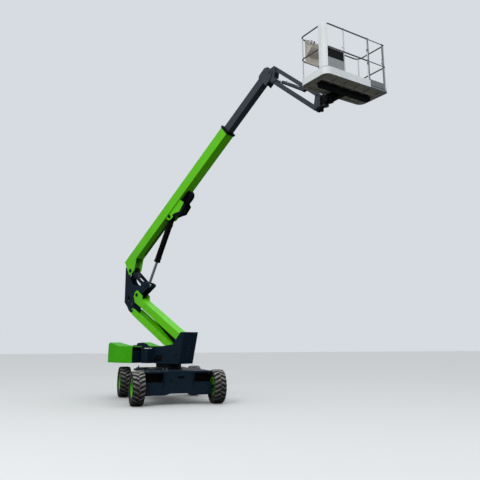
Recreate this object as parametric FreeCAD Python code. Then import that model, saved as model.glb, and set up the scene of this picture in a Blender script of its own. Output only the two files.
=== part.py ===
import FreeCAD, Part
import math
import os

from FreeCAD import Placement, Rotation, Vector

# Articulating boom lift, in millimetres.
# The origin lies on the floor under the slewing axis, +X points to the end with the drive axle
# and +Z is up. Everything above the slewing ring is drawn in the boom's own upright plane,
# s along X and z up, and is then turned about Z by SLEW.

# Fits between pieces
FIT = 0.4            # radial gap of a pin or rod in its bore
SEAT = 0.3           # gap between flat faces of two bodies
PLATE = 12.0         # main plate thickness
SWING_GAP = 8.0      # gap between plates that swing past each other

# Attitude as parked
SLEW = 29.5
TOWER_RISE = 30.3    # tower arms above the horizontal, towards the tail
BOOM_RISE = 39.5
JIB_DROP = 41.5
PLATFORM_TURN = -15.0

# Wheels
WHEEL_BASE = 2400.0
TRACK = 2040.0
TYRE_R = 415.0
TYRE_W = 307.0
RIM_R = 212.0
RIM_W = 250.0
RIM_WALL = 14.0
RIM_FLANGE = 10.0
HUB_R = 110.0
SPINDLE_R = 45.0
SPINDLE_OVER = 40.0

# Chassis
DECK_Z = 800.0
DECK_T = 40.0
DECK_HALF = 850.0
END_X = 1300.0
END_T = 22.0
SPINE_HALF = 380.0
SPINE_Z = 330.0
SPINE_WALL = 20.0
STEER_END_X = -1320.0
STEER_SPINE_Z = 520.0
STEER_SPINE_X = -980.0
STEER_DECK_HALF = 680.0
STEER_DECK_X = -650.0
BEAM_GAP = 11.5
BEAM_HALF = (TRACK - TYRE_W) / 2 - BEAM_GAP
BEAM_Z = (230.0, 540.0)
BEAM_ARCH = (205.0, 340.0, 40.0)
AXLE_BOX_X = (1090.0, 1278.0)
AXLE_BOX_Z = (300.0, 530.0)
RIB_PROUD = 58.0
RIB_Z = 370.0
SLOT = (60.0, 650.0, 180.0, 70.0)
TIE_HOLE = (-190.0, 580.0, 22.5)
AXLE_HALF_X = 85.0
AXLE_HALF_Z = 80.0
KINGPIN_Y = 790.0
KINGPIN_R = 30.0
KNUCKLE_H = 190.0
KNUCKLE_R = 50.0
EAR_R = 58.0
EAR_T = 25.0

# Slewing ring and turntable
RING_R = 340.0
RING_BORE = 210.0
RING_TOP = 950.0
RING_PAD = (400.0, 12.0)
TABLE_Z = RING_TOP + SEAT
TABLE_T = 20.0
TABLE_DISC_R = 370.0
TABLE_HALF = 250.0
TABLE_REAR = -1740.0
TABLE_TOP = 1770.0
FRONT_FOOT = 680.0
FRONT_TOP = 870.0
TAIL_NOTCH_Z = 1080.0
SIDE_OPENING = ((-390.0, 60.0), (1000.0, 1170.0))
FRONT_SLOT = (1690.0, 90.0, 26.0)
LOUVRE_Z = (1140.0, 1480.0)
LOUVRES = 5

# Hoods, one each side of the spine, and what stands under and beside them
HOOD_S = (-1760.0, -840.0)
HOOD_Y = (272.0, 740.0)
HOOD_TOP = 1500.0
HOOD_BROW = 1400.0
HOOD_FALL_S = -1280.0
HOOD_WALL = 20.0
HOOD_CORNER = (90.0, 133.0)
HOOD_INNER_CUT = (110.0, 90.0)
HOOD_GAP = 6.0
HOOD_KNUCKLE = (10.0, 80.0)
HOOD_KNUCKLE_S = (-1690.0, -1440.0)
HOOD_PIN_R = 5.0
HOOD_LUG = 14.0
BAY_T = 18.0
COUNTERWEIGHT_S = (-1930.0, -1766.0)
COUNTERWEIGHT_Y = (540.0, 700.0)
COUNTERWEIGHT_Z = 1420.0
NOTCH_HALF = 265.0
CONTROL_BOX = ((-660.0, -380.0), 180.0, 1330.0)

# Tower: pivots of the parallelogram and of its cylinder
TOWER_TOP_PIVOT = (740.0, 1650.0)
TOWER_LENGTH = 2398.0
TOWER_OFFSET = (-200.0, -450.0)
UPPER_ARM_HALF = 145.0
UPPER_ARM_P = (-220.0, -20.0)
LOWER_ARM_HALF = 150.0
LOWER_ARM_P = (-95.0, 95.0)
ARM_PIN_R = 35.0
BOSS_R = 60.0
TOWER_CYL_PIN = (450.0, 1370.0)
TOWER_EYE_T = 2150.0
TOWER_EYE_P = -160.0
TOWER_BARREL = (1450.0, 55.0)
TOWER_ROD_R = 32.0
TOWER_LUG_Y = (60.0, 72.0)

# Riser: its pins, measured from the upper arm's pivot
BOOM_PIVOT_FROM_RISER = (-360.0, 740.0)
LIFT_EYE_FROM_RISER = (350.0, 260.0)
RISER_Y = (106.0, 122.0)
RISER_WINDOW_R = 270.0
RISER_HOLE_R = 67.0

# Main boom, in its own frame: t along the boom from its pivot, p square to it
BOOM_HALF = 140.0
BOOM_REAR = -50.0
BOOM_TIP = 5190.0
BOOM_P = (115.0, 410.0)
BOOM_WALL = 10.0
NECK_T = 410.0
COLLAR_T = 60.0
COLLAR_LIP = 18.0
LIFT_PIN = (2200.0, 40.0)
LIFT_BARREL = (1395.0, 85.0)
LIFT_ROD_R = 42.0
LIFT_PIN_R = 34.0
BRACKET_Y = (100.0, 112.0)
CARRIER_T = (2600.0, 3215.0)
CARRIER_P = (-158.0, 108.0)
CARRIER_BAND = 42.0
CARRIER_HALF = 50.0

# Fly boom, same frame
FLY_T = (3950.0, 6950.0)
FLY_P = (155.0, 375.0)
FLY_HALF = 100.0
FLY_WALL = 8.0
FLY_HEAD_T = 6862.0
HEAD_Y = (100.0, 112.0)
LEVEL_PIVOT = (7180.0, 215.0)
LEVEL_TUBE_R = 55.0

# Jib, measured from the levelling pivot, whose bracket stays upright
JIB_TOP = (147.0, 67.0)
JIB_OFFSET = (-60.0, -340.0)
JIB_LENGTH = 1720.0
JIB_PIN_R = 24.0
JIB_UPPER_HALF = 55.0
JIB_UPPER_DEEP = 50.0
JIB_LOWER_HALF = 72.0
JIB_LOWER_DEEP = 55.0
JIB_WEB_T = 1310.0
BRACKET_PLATE_Y = (80.0, 92.0)
JIB_EYE = (70.0, -350.0)
JIB_CYL_T = 1200.0
JIB_CYL_P = -80.0
JIB_BARREL = (760.0, 40.0)
JIB_ROD_R = 20.0
JIB_CYL_PIN_R = 18.0
JIB_KNEE_Y = (44.0, 55.0)

# Platform, in its own frame: x forward from the rotator's axis, y to its left
ROTATOR_S = 170.0
ROTATOR_R = 85.0
ROTATOR_SHAFT_R = 40.0
ROTATOR_SEAT = (10.0, 30.0)
PLATFORM_X = (214.0, 1095.0)
PLATFORM_HALF = 946.0
FLOOR_DROP = 128.0   # floor below the jib's upper end pin
FLOOR_SHEET = 5.0
FLOOR_MAT = (62.0, 3.0)
RIB_DEEP = 40.0
SUPPORT_Z = 150.0
TOE_H = 130.0
TOE_T = 6.0
CORNER_R = 150.0
GATE_CORNER_R = 60.0
RAIL_H = 1165.0
MID_RAIL_H = 610.0
RAIL_R = 16.5
POST_R = 14.0
RAIL_IN = TOE_T + SEAT + RAIL_R
POST_IN = 4.0        # corner posts stand this much inside the bends
POST_Y = (574.0 - PLATFORM_HALF, PLATFORM_HALF - 584.0)
GATE_Y = (POST_Y[1] + 32.0, PLATFORM_HALF - 79.0)
GATE_KICK_H = 160.0
GATE_TUBE_R = 13.0
GATE_RAIL_R = 11.0
GATE_RING = (8.0, 50.0)
COLUMN = (210.0, 85.0)
COLUMN_T = 5.0
CONSOLE_Y = (CORNER_R + 10.0 - PLATFORM_HALF, CORNER_R + 380.0 - PLATFORM_HALF)


def add(a, b):
    return (a[0] + b[0], a[1] + b[1])


def turned(point, degrees):
    a = math.radians(degrees)
    return (point[0] * math.cos(a) - point[1] * math.sin(a), point[0] * math.sin(a) + point[1] * math.cos(a))


def distance(a, b):
    return math.hypot(b[0] - a[0], b[1] - a[1])


def box(x, y, z):
    return Part.makeBox(x[1] - x[0], y[1] - y[0], z[1] - z[0], Vector(x[0], y[0], z[0]))


def face(points):
    return Part.Face(Part.makePolygon(points + [points[0]]))


def plate(outline, y0, y1):
    """A closed outline in the upright plane, extruded between two widths."""
    return face([Vector(s, y0, z) for s, z in outline]).extrude(Vector(0, y1 - y0, 0))


def end_plate(outline, x0, x1):
    """A closed outline in y and z, extruded along the chassis."""
    return face([Vector(x0, y, z) for y, z in outline]).extrude(Vector(x1 - x0, 0, 0))


def slab(outline, z0, z1):
    """A closed outline in plan, extruded between two heights."""
    return face([Vector(x, y, z0) for x, y in outline]).extrude(Vector(0, 0, z1 - z0))


def pin(at, radius, y0, y1):
    return Part.makeCylinder(radius, y1 - y0, Vector(at[0], y0, at[1]), Vector(0, 1, 0))


def post(x, y, radius, z0, z1):
    return Part.makeCylinder(radius, z1 - z0, Vector(x, y, z0))


def mirrored(shape):
    """The same piece on the machine's other side."""
    return shape.mirror(Vector(0, 0, 0), Vector(0, 1, 0))


def pair(make, inner, outer):
    """The same plate on the left and on the right."""
    return [make(inner, outer), make(-outer, -inner)]


def join(solids):
    shape = solids[0].fuse(solids[1:]) if len(solids) > 1 else solids[0]
    return shape.removeSplitter()


def strap(a, radius_a, b, radius_b, y0, y1):
    """A link plate: the hull of two circles in the upright plane."""
    along = math.atan2(b[1] - a[1], b[0] - a[0])
    opening = math.acos((radius_a - radius_b) / distance(a, b))

    def on(centre, radius, angle):
        return Vector(centre[0] + radius * math.cos(angle), y0, centre[1] + radius * math.sin(angle))

    a_up = on(a, radius_a, along + opening)
    a_down = on(a, radius_a, along - opening)
    b_up = on(b, radius_b, along + opening)
    b_down = on(b, radius_b, along - opening)
    edges = [
        Part.Arc(a_up, on(a, radius_a, along + math.pi), a_down).toShape(),
        Part.LineSegment(a_down, b_down).toShape(),
        Part.Arc(b_down, on(b, radius_b, along), b_up).toShape(),
        Part.LineSegment(b_up, a_up).toShape(),
    ]
    return Part.Face(Part.Wire(edges)).extrude(Vector(0, y1 - y0, 0))


def moved(shape, origin, rise):
    """From a frame laid along X to its place in the boom plane, raised by an angle."""
    shape = shape.copy()
    shape.Placement = Placement(Vector(origin[0], 0, origin[1]), Rotation(Vector(0, 1, 0), -rise))
    return shape


def facing_tail(shape, origin):
    """A tower arm, drawn along +X, turned to run up towards the tail."""
    return moved(shape.mirror(Vector(0, 0, 0), Vector(1, 0, 0)), origin, -TOWER_RISE)


def aimed(shape, start, end):
    rise = math.degrees(math.atan2(end[1] - start[1], end[0] - start[0]))
    return moved(shape, start, rise)


def slewed(shape):
    shape = shape.copy()
    shape.rotate(Vector(0, 0, 0), Vector(0, 0, 1), SLEW)
    return shape


# Pivots in the boom plane, worked out from the sizes above
TOWER_LOW_PIVOT = add(TOWER_TOP_PIVOT, TOWER_OFFSET)
RISER_PIVOT = add(TOWER_TOP_PIVOT, turned((TOWER_LENGTH, 0.0), 180.0 - TOWER_RISE))
RISER_LOW_PIVOT = add(RISER_PIVOT, TOWER_OFFSET)
TOWER_EYE = add(TOWER_TOP_PIVOT, turned((TOWER_EYE_T, -TOWER_EYE_P), 180.0 - TOWER_RISE))
BOOM_PIVOT = add(RISER_PIVOT, BOOM_PIVOT_FROM_RISER)
LIFT_EYE = add(RISER_PIVOT, LIFT_EYE_FROM_RISER)
LIFT_HINGE = add(BOOM_PIVOT, turned(LIFT_PIN, BOOM_RISE))
LEVEL_PIN = add(BOOM_PIVOT, turned(LEVEL_PIVOT, BOOM_RISE))
JIB_HEAD_TOP = add(LEVEL_PIN, JIB_TOP)
JIB_HEAD_LOW = add(JIB_HEAD_TOP, JIB_OFFSET)
JIB_ROD_EYE = add(JIB_HEAD_TOP, JIB_EYE)
JIB_END_TOP = add(JIB_HEAD_TOP, turned((JIB_LENGTH, 0.0), -JIB_DROP))
JIB_END_LOW = add(JIB_END_TOP, JIB_OFFSET)
JIB_CYL_PIN = add(JIB_HEAD_TOP, turned((JIB_CYL_T, JIB_CYL_P), -JIB_DROP))
ROTATOR_AXIS = add(JIB_END_TOP, (ROTATOR_S, 0.0))
FLOOR_Z = JIB_END_TOP[1] - FLOOR_DROP

# Wheels: end of the chassis, side, and the node's name
WHEELS = [(1, 1, "drive_left"), (1, -1, "drive_right"), (-1, 1, "steer_left"), (-1, -1, "steer_right")]


def revolved(profile, centre):
    """A profile of radius and width, revolved about a wheel's axle."""
    ring = face([Vector(r, y, 0) for r, y in profile]).revolve(Vector(0, 0, 0), Vector(0, 1, 0), 360)
    ring.translate(centre)
    return ring


def make_tyre(centre):
    """Carcass with its tread out to the lugs' tips."""
    half = TYRE_W / 2
    bead = RIM_W / 2 - RIM_FLANGE - SEAT
    side = [
        (RIM_R, bead), (RIM_R + RIM_WALL + 2, bead), (RIM_R + 30, half - 16), (RIM_R + 62, half - 3),
        (TYRE_R - 95, half), (TYRE_R - 40, half - 6),
        (TYRE_R - 8, half - 24), (TYRE_R, half - 66),
    ]
    return revolved([(r, -y) for r, y in side] + [(r, y) for r, y in reversed(side)], centre)


def make_rim(centre, outer):
    """Deep dish, open to the outside, round the hub; outer is +1 when the outside faces +Y."""
    half = RIM_W / 2
    seat = RIM_R - SEAT
    low = seat - RIM_WALL
    bore = SPINDLE_R + FIT
    profile = [
        (low, -half), (seat + RIM_WALL, -half), (seat + RIM_WALL, -half + RIM_FLANGE), (seat, -half + RIM_FLANGE),
        (seat, half - RIM_FLANGE), (seat + RIM_WALL, half - RIM_FLANGE), (seat + RIM_WALL, half), (low, half),
        (low, 5), (HUB_R, -15), (HUB_R, 70), (bore, 70), (bore, -60), (HUB_R, -60), (HUB_R, -29), (low, -9),
    ]
    return revolved([(r, y * outer) for r, y in profile], centre)


def make_wheels():
    pieces = {}
    for end, side, name in WHEELS:
        centre = Vector(end * WHEEL_BASE / 2, side * TRACK / 2, TYRE_R)
        pieces["tyre_" + name] = make_tyre(centre)
        pieces["rim_" + name] = make_rim(centre, side)
    return pieces


def make_chassis():
    """Welded spine under its deck, with the full-width drive end plate and the axle box behind it."""
    under = DECK_Z - DECK_T
    spine = plate([(END_X - END_T, SPINE_Z), (STEER_SPINE_X, SPINE_Z), (STEER_SPINE_X - 80, STEER_SPINE_Z),
                   (STEER_END_X, STEER_SPINE_Z), (STEER_END_X, under), (END_X - END_T, under)],
                  -SPINE_HALF, SPINE_HALF)
    wall = SPINE_WALL
    inside = plate([(END_X - END_T - wall, SPINE_Z - 5), (STEER_SPINE_X + wall, SPINE_Z - 5),
                    (STEER_SPINE_X + wall, under - wall), (END_X - END_T - wall, under - wall)],
                   -SPINE_HALF + wall, SPINE_HALF - wall)
    tail = box((STEER_END_X + wall, STEER_SPINE_X), (-SPINE_HALF + wall, SPINE_HALF - wall),
               (STEER_SPINE_Z + wall, under - wall))
    decks = [
        box((STEER_DECK_X, END_X), (-DECK_HALF, DECK_HALF), (under, DECK_Z)),
        box((STEER_END_X, STEER_DECK_X), (-STEER_DECK_HALF, STEER_DECK_HALF), (under, DECK_Z)),
    ]
    arch_in, arch_out, arch_rise = BEAM_ARCH
    low, high = BEAM_Z
    front = end_plate([
        (-BEAM_HALF, low), (-arch_out, low), (-arch_in, low + arch_rise), (arch_in, low + arch_rise),
        (arch_out, low), (BEAM_HALF, low), (BEAM_HALF, high), (SPINE_HALF, high), (SPINE_HALF, under),
        (-SPINE_HALF, under), (-SPINE_HALF, high), (-BEAM_HALF, high)], END_X - END_T, END_X)
    y, z, length, width = SLOT
    front = front.cut(box((END_X - 50, END_X + 5), (y - length / 2 + width / 2, y + length / 2 - width / 2),
                          (z - width / 2, z + width / 2)))
    for end in (-1, 1):
        at = Vector(END_X - 50, y + end * (length - width) / 2, z)
        front = front.cut(Part.makeCylinder(width / 2, 60, at, Vector(1, 0, 0)))
    at = Vector(END_X - 50, TIE_HOLE[0], TIE_HOLE[1])
    front = front.cut(Part.makeCylinder(TIE_HOLE[2], 60, at, Vector(1, 0, 0)))
    axle = box(AXLE_BOX_X, (-BEAM_HALF, BEAM_HALF), AXLE_BOX_Z)
    hollow = box((AXLE_BOX_X[0] + wall, AXLE_BOX_X[1] + 1), (-BEAM_HALF + wall, BEAM_HALF - wall),
                 (AXLE_BOX_Z[0] + wall, AXLE_BOX_Z[1] - wall))
    ribs = []
    for side in (-1, 1):
        outline = [(END_X, RIB_Z), (END_X + RIB_PROUD, RIB_Z + 240), (END_X + RIB_PROUD, DECK_Z), (END_X, DECK_Z)]
        ribs.append(plate(outline, side * SPINE_HALF - PLATE / 2, side * SPINE_HALF + PLATE / 2))
    stubs = []
    for side in (-1, 1):
        y0, y1 = sorted((side * (BEAM_HALF - wall), side * (TRACK / 2 + SPINDLE_OVER)))
        stubs.append(pin((WHEEL_BASE / 2, TYRE_R), SPINDLE_R, y0, y1))
    pad = post(0, 0, RING_PAD[0], DECK_Z, DECK_Z + RING_PAD[1])
    welded = join([spine.cut(inside).cut(tail), axle.cut(hollow), pad] + decks)
    return join([welded, front] + ribs + stubs)


def make_steer_axle():
    """Box beam with a clevis and kingpin at each end, bolted under the raised end of the spine."""
    x = -WHEEL_BASE / 2
    half = KNUCKLE_H / 2 + 1
    beam_end = KINGPIN_Y - 75
    parts = [box((x - AXLE_HALF_X, x + AXLE_HALF_X), (-beam_end, beam_end),
                 (TYRE_R - AXLE_HALF_Z, TYRE_R + AXLE_HALF_Z))]
    for side in (-1, 1):
        y0, y1 = sorted((side * (beam_end - 30), side * KINGPIN_Y))
        for z in (TYRE_R - half - EAR_T, TYRE_R + half):
            parts.append(post(x, side * KINGPIN_Y, EAR_R, z, z + EAR_T))
            parts.append(box((x - EAR_R, x + EAR_R), (y0, y1), (z, z + EAR_T)))
        y0, y1 = sorted((side * (beam_end - 30), side * (beam_end - 5)))
        parts.append(box((x - EAR_R, x + EAR_R), (y0, y1), (TYRE_R - half - EAR_T, TYRE_R + half + EAR_T)))
        parts.append(post(x, side * KINGPIN_Y, KINGPIN_R, TYRE_R - half - EAR_T, TYRE_R + half + EAR_T))
    parts.append(box((x - 70, x + 70), (-180, 180), (TYRE_R + AXLE_HALF_Z, STEER_SPINE_Z)))
    return join(parts)


def make_knuckle(side):
    x = -WHEEL_BASE / 2
    half = KNUCKLE_H / 2
    barrel = post(x, side * KINGPIN_Y, KNUCKLE_R, TYRE_R - half, TYRE_R + half)
    y0, y1 = sorted((side * KINGPIN_Y, side * (TRACK / 2 + SPINDLE_OVER)))
    spindle = pin((x, TYRE_R), SPINDLE_R, y0, y1)
    return join([barrel, spindle]).cut(post(x, side * KINGPIN_Y, KINGPIN_R + FIT, TYRE_R - half, TYRE_R + half))


def make_slew_ring():
    low = DECK_Z + RING_PAD[1]
    return post(0, 0, RING_R, low, RING_TOP).cut(post(0, 0, RING_BORE, low, RING_TOP))


def front_point(z):
    """Where the turntable's leaning front edge lies at a height."""
    return FRONT_FOOT + (FRONT_TOP - FRONT_FOOT) * (z - TABLE_Z) / (TABLE_TOP - TABLE_Z)


def make_turntable():
    """Two tall side plates on a floor, closed by a louvred leaning front, with the tower's pins."""
    low = TABLE_Z
    floor_top = low + TABLE_T
    side = [
        (TABLE_REAR, low), (FRONT_FOOT, low), (FRONT_TOP, TABLE_TOP), (FRONT_TOP - 150, TABLE_TOP),
        (410, 1450), (130, 1420), (-450, 1335), (TABLE_REAR, 1300),
    ]
    inner = TABLE_HALF - PLATE
    opening_s, opening_z = SIDE_OPENING
    parts = pair(lambda a, b: plate(side, a, b), inner, TABLE_HALF)
    parts[1] = parts[1].cut(box(opening_s, (-TABLE_HALF - 5, -inner + 5), opening_z))
    parts.append(box((TABLE_REAR, FRONT_FOOT), (-TABLE_HALF, TABLE_HALF), (low, floor_top)))
    parts.append(post(0, 0, TABLE_DISC_R, low, floor_top))
    front = plate([(FRONT_FOOT - PLATE, low), (FRONT_FOOT, low), (FRONT_TOP, TABLE_TOP),
                   (FRONT_TOP - PLATE, TABLE_TOP)], -TABLE_HALF, TABLE_HALF)
    z, length, width = FRONT_SLOT
    s = front_point(z)
    front = front.cut(box((s - 60, s + 60), (-length / 2, length / 2), (z - width / 2, z + width / 2)))
    for i in range(LOUVRES):
        z = LOUVRE_Z[0] + (LOUVRE_Z[1] - LOUVRE_Z[0]) * i / (LOUVRES - 1)
        slot = box((-60, 60), (-65, 65), (-8, 8))
        slot.rotate(Vector(0, 0, 0), Vector(1, 0, 0), 35)
        slot.translate(Vector(front_point(z), 0, z))
        front = front.cut(slot)
    parts.append(front)
    parts.append(box((TABLE_REAR, TABLE_REAR + PLATE), (-TABLE_HALF, TABLE_HALF), (low, TAIL_NOTCH_Z)))
    for at in (TOWER_TOP_PIVOT, TOWER_LOW_PIVOT):
        parts.append(pin(at, ARM_PIN_R, -TABLE_HALF - 8, TABLE_HALF + 8))
    s, z = TOWER_CYL_PIN
    foot = [(s - 240, floor_top - 5), (s - 60, floor_top - 5), (s + 45, z - 20), (s + 10, z + 48), (s - 40, z + 30)]
    parts += pair(lambda a, b: plate(foot, a, b), TOWER_LUG_Y[0], TOWER_LUG_Y[1])
    parts.append(pin(TOWER_CYL_PIN, 28, -TOWER_LUG_Y[1] - 8, TOWER_LUG_Y[1] + 8))
    return join(parts)


def hood_outline(shrink):
    """The hood's side view, high at the tail and falling to its brow."""
    s0, s1 = HOOD_S[0] + shrink, HOOD_S[1] - shrink
    top, brow = HOOD_TOP - shrink, HOOD_BROW - shrink
    return [(s0, TABLE_Z - shrink), (s1, TABLE_Z - shrink), (s1, brow), (HOOD_FALL_S, brow),
            (s0 + 60, top), (s0, top - 60)]


def hood_block(shrink):
    """The hood's whole form on the left side, shrunk on every outer face."""
    block = plate(hood_outline(shrink), HOOD_Y[0] - 10 * (shrink > 0), HOOD_Y[1] - shrink)
    s1, y1 = HOOD_S[1] - shrink, HOOD_Y[1] - shrink
    ds, dy = HOOD_CORNER
    corner = slab([(s1 + 1, y1 - dy), (s1 + 1, y1 + 1), (s1 - ds, y1 + 1), (s1 - ds, y1), (s1, y1 - dy)],
                  TABLE_Z - 50, HOOD_TOP + 50)
    y0 = HOOD_Y[0] - 20
    across, down = HOOD_INNER_CUT
    top = HOOD_TOP - shrink
    bevel = end_plate([(y0, top - down), (HOOD_Y[0], top - down), (HOOD_Y[0] + across, top),
                       (HOOD_Y[0] + across, top + 50), (y0, top + 50)], HOOD_S[0] - 5, HOOD_S[1] + 5)
    return block.cut(corner).cut(bevel)


def make_hood(side):
    """Lid of top, outer side, tail and corner, hinged along its inner top edge."""
    shell = hood_block(0).cut(hood_block(HOOD_WALL))
    gap = box((HOOD_S[1] - HOOD_WALL, HOOD_S[1] + 5), (HOOD_Y[0] - 5, HOOD_Y[1] - HOOD_CORNER[1]),
              (TABLE_Z - 5, HOOD_BROW - HOOD_WALL))
    radius, length = HOOD_KNUCKLE
    at = HOOD_TOP - HOOD_INNER_CUT[1]
    knuckles = [Part.makeCylinder(radius, length, Vector(s, HOOD_Y[0], at), Vector(1, 0, 0)) for s in HOOD_KNUCKLE_S]
    shell = join([shell.cut(gap)] + knuckles)
    for s in HOOD_KNUCKLE_S:
        shell = shell.cut(Part.makeCylinder(HOOD_PIN_R + FIT, length + 2, Vector(s - 1, HOOD_Y[0], at), Vector(1, 0, 0)))
    return shell if side > 0 else mirrored(shell)


def make_bay():
    """Trays, inner walls and front panels that the hoods close over, one set a side."""
    reach = HOOD_WALL + HOOD_GAP
    s0, s1 = HOOD_S[0] + reach, HOOD_S[1] - HOOD_WALL
    y1 = HOOD_Y[1] - HOOD_CORNER[1] - reach - HOOD_GAP
    z = TABLE_Z
    floor = slab([(s0, TABLE_HALF), (s1, TABLE_HALF), (s1, y1), (s1 - HOOD_CORNER[0], y1 + HOOD_CORNER[1]),
                  (s0, y1 + HOOD_CORNER[1])], z, z + BAY_T)
    cut = HOOD_INNER_CUT[1] + reach + 10
    wall = box((s0, s1), (TABLE_HALF, TABLE_HALF + BAY_T), (z, HOOD_BROW - cut))
    front = box((s1, HOOD_S[1]), (TABLE_HALF, y1), (z, HOOD_BROW - cut))
    parts = [floor, wall, front]
    at = HOOD_TOP - HOOD_INNER_CUT[1]
    for s in HOOD_KNUCKLE_S:
        end = s + HOOD_KNUCKLE[1] + SEAT
        parts.append(box((end, end + HOOD_LUG), (TABLE_HALF, HOOD_Y[0] - 1), (HOOD_BROW - cut - 5, at + HOOD_PIN_R)))
        parts.append(Part.makeCylinder(HOOD_PIN_R, end - s - 5, Vector(s + 5, HOOD_Y[0], at), Vector(1, 0, 0)))
    left = join(parts)
    return [left, mirrored(left)]


def make_counterweight():
    """Cast block across the tail, notched where the lowered tower comes down."""
    s0, s1 = COUNTERWEIGHT_S
    y0, y1 = COUNTERWEIGHT_Y
    block = slab([(s0, -y0), (s1, -y1), (s1, y1), (s0, y0)], TABLE_Z, COUNTERWEIGHT_Z)
    notch = box((s0 - 5, s1 + 5), (-NOTCH_HALF, NOTCH_HALF), (TAIL_NOTCH_Z, COUNTERWEIGHT_Z + 5))
    tongue = box((s1, TABLE_REAR), (-TABLE_HALF, TABLE_HALF), (TABLE_Z, TAIL_NOTCH_Z))
    return join([block.cut(notch), tongue])


def make_power_blocks():
    """Engine on one side and battery with tank on the other, each as one plain mass."""
    s = (HOOD_S[0] + 110, HOOD_S[1] - 200)
    y = (TABLE_HALF + BAY_T + 30, HOOD_Y[1] - 90)
    block = box(s, y, (TABLE_Z + BAY_T, TABLE_Z + 330))
    return [block, mirrored(block)]


def make_ground_controls():
    s, deep, top = CONTROL_BOX
    body = box(s, (-TABLE_HALF - deep, -TABLE_HALF), (TABLE_Z, top))
    cap = box((s[0] - 8, s[1] + 8), (-TABLE_HALF - deep - 8, -TABLE_HALF), (top - 22, top))
    foot = box((s[0], s[1]), (-TABLE_HALF, -TABLE_HALF + 1), (TABLE_Z, TABLE_Z + TABLE_T))
    return join([body, cap]).cut(foot)


def make_upper_arm():
    """Channel open below, its side plates running past both pivots."""
    end = TOWER_LENGTH
    p0, p1 = UPPER_ARM_P
    inner = UPPER_ARM_HALF - PLATE
    side = [(-60, p1 + 30), (60, p1), (end - 310, p1), (end - 235, 92), (end + 62, 118), (end + 122, 25),
            (end + 110, -110), (end - 40, -232), (end - 190, -228), (end - 330, p0), (60, p0), (-50, p0 + 110)]
    reach = TABLE_HALF - PLATE - SEAT
    parts = pair(lambda a, b: plate(side, a, b), inner, UPPER_ARM_HALF)
    parts.append(box((90, end - 200), (-UPPER_ARM_HALF, UPPER_ARM_HALF), (p1 - PLATE, p1)))
    parts.append(pin((0, 0), BOSS_R, -reach, reach))
    shape = join(parts)
    for at in ((0, 0), (end, 0)):
        shape = shape.cut(pin(at, ARM_PIN_R + FIT, -TABLE_HALF, TABLE_HALF))
    return facing_tail(shape, TOWER_TOP_PIVOT)


def make_lower_arm():
    """Two bars on a bottom plate, open above so that the tower cylinder lies between them."""
    end = TOWER_LENGTH
    p0, p1 = LOWER_ARM_P
    inner = LOWER_ARM_HALF - PLATE - 10
    side = [(-75, 30), (-30, 75), (110, p1), (end - 100, p1), (end + 10, 70), (end + 65, 20), (end + 60, -35),
            (end, -70), (end - 120, p0), (100, p0), (-30, -70), (-75, -30)]
    reach = TABLE_HALF - PLATE - SEAT
    parts = pair(lambda a, b: plate(side, a, b), inner, LOWER_ARM_HALF)
    parts.append(box((350, end - 400), (-LOWER_ARM_HALF, LOWER_ARM_HALF), (p0, p0 + PLATE)))
    parts += pair(lambda a, b: pin((0, 0), BOSS_R, a, b), inner, reach)
    shape = join(parts)
    for at in ((0, 0), (end, 0)):
        shape = shape.cut(pin(at, ARM_PIN_R + FIT, -TABLE_HALF, TABLE_HALF))
    return facing_tail(shape, TOWER_LOW_PIVOT)


def make_riser():
    """Two tall plates that stay upright, with a window under a strut, a nose for the lift rod and three pins."""
    top = RISER_PIVOT
    boom = BOOM_PIVOT
    low = RISER_LOW_PIVOT
    nose = LIFT_EYE
    outline = [
        add(boom, (-270, 120)), add(boom, (-250, -930)), add(boom, (-120, -1060)), add(low, (-190, 10)),
        add(low, (-80, -65)), add(low, (30, -70)), add(low, (80, 10)), add(low, (70, 150)), add(top, (-70, -120)),
        add(top, (0, -90)), add(top, (90, -40)), add(nose, (-110, -220)), add(nose, (190, -30)), add(nose, (180, 20)),
        add(nose, (80, 70)), add(nose, (-160, 130)), add(boom, (130, -30)), add(boom, (90, 90)), add(boom, (-10, 120)),
    ]
    centre = add(boom, (240, -180))
    corner = [add(centre, turned((RISER_WINDOW_R, 0), a)) for a in (174, 216, 259)]
    rest = [add(nose, (-250, -10)), add(nose, (-202, 34)), add(boom, (68, -116)), add(boom, (0, -110))]
    hole = add(boom, (-50, -820))
    inner, outer = RISER_Y

    def side(a, b):
        arc = Part.Arc(*[Vector(s, a - 5, z) for s, z in corner]).toShape()
        path = [Vector(s, a - 5, z) for s, z in [corner[2]] + rest + [corner[0]]]
        window = Part.Face(Part.Wire([arc] + Part.makePolygon(path).Edges))
        sheet = plate(outline, a, b).fuse([pin(nose, 75, a, b), pin(top, 90, a, b)])
        return sheet.cut([window.extrude(Vector(0, b - a + 10, 0)), pin(hole, RISER_HOLE_R, a - 5, b + 5)])

    span = LOWER_ARM_HALF + 8
    parts = pair(side, inner, outer)
    parts += [pin(at, ARM_PIN_R, -span, span) for at in (top, boom, low)]
    parts += pair(lambda a, b: pin(nose, 45, a, b), outer, outer + 4)
    rear = boom[0] - 255
    parts.append(box((rear, rear + 16), (-inner - 1, inner + 1), (boom[1] - 850, boom[1] - 200)))
    return join(parts)


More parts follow.
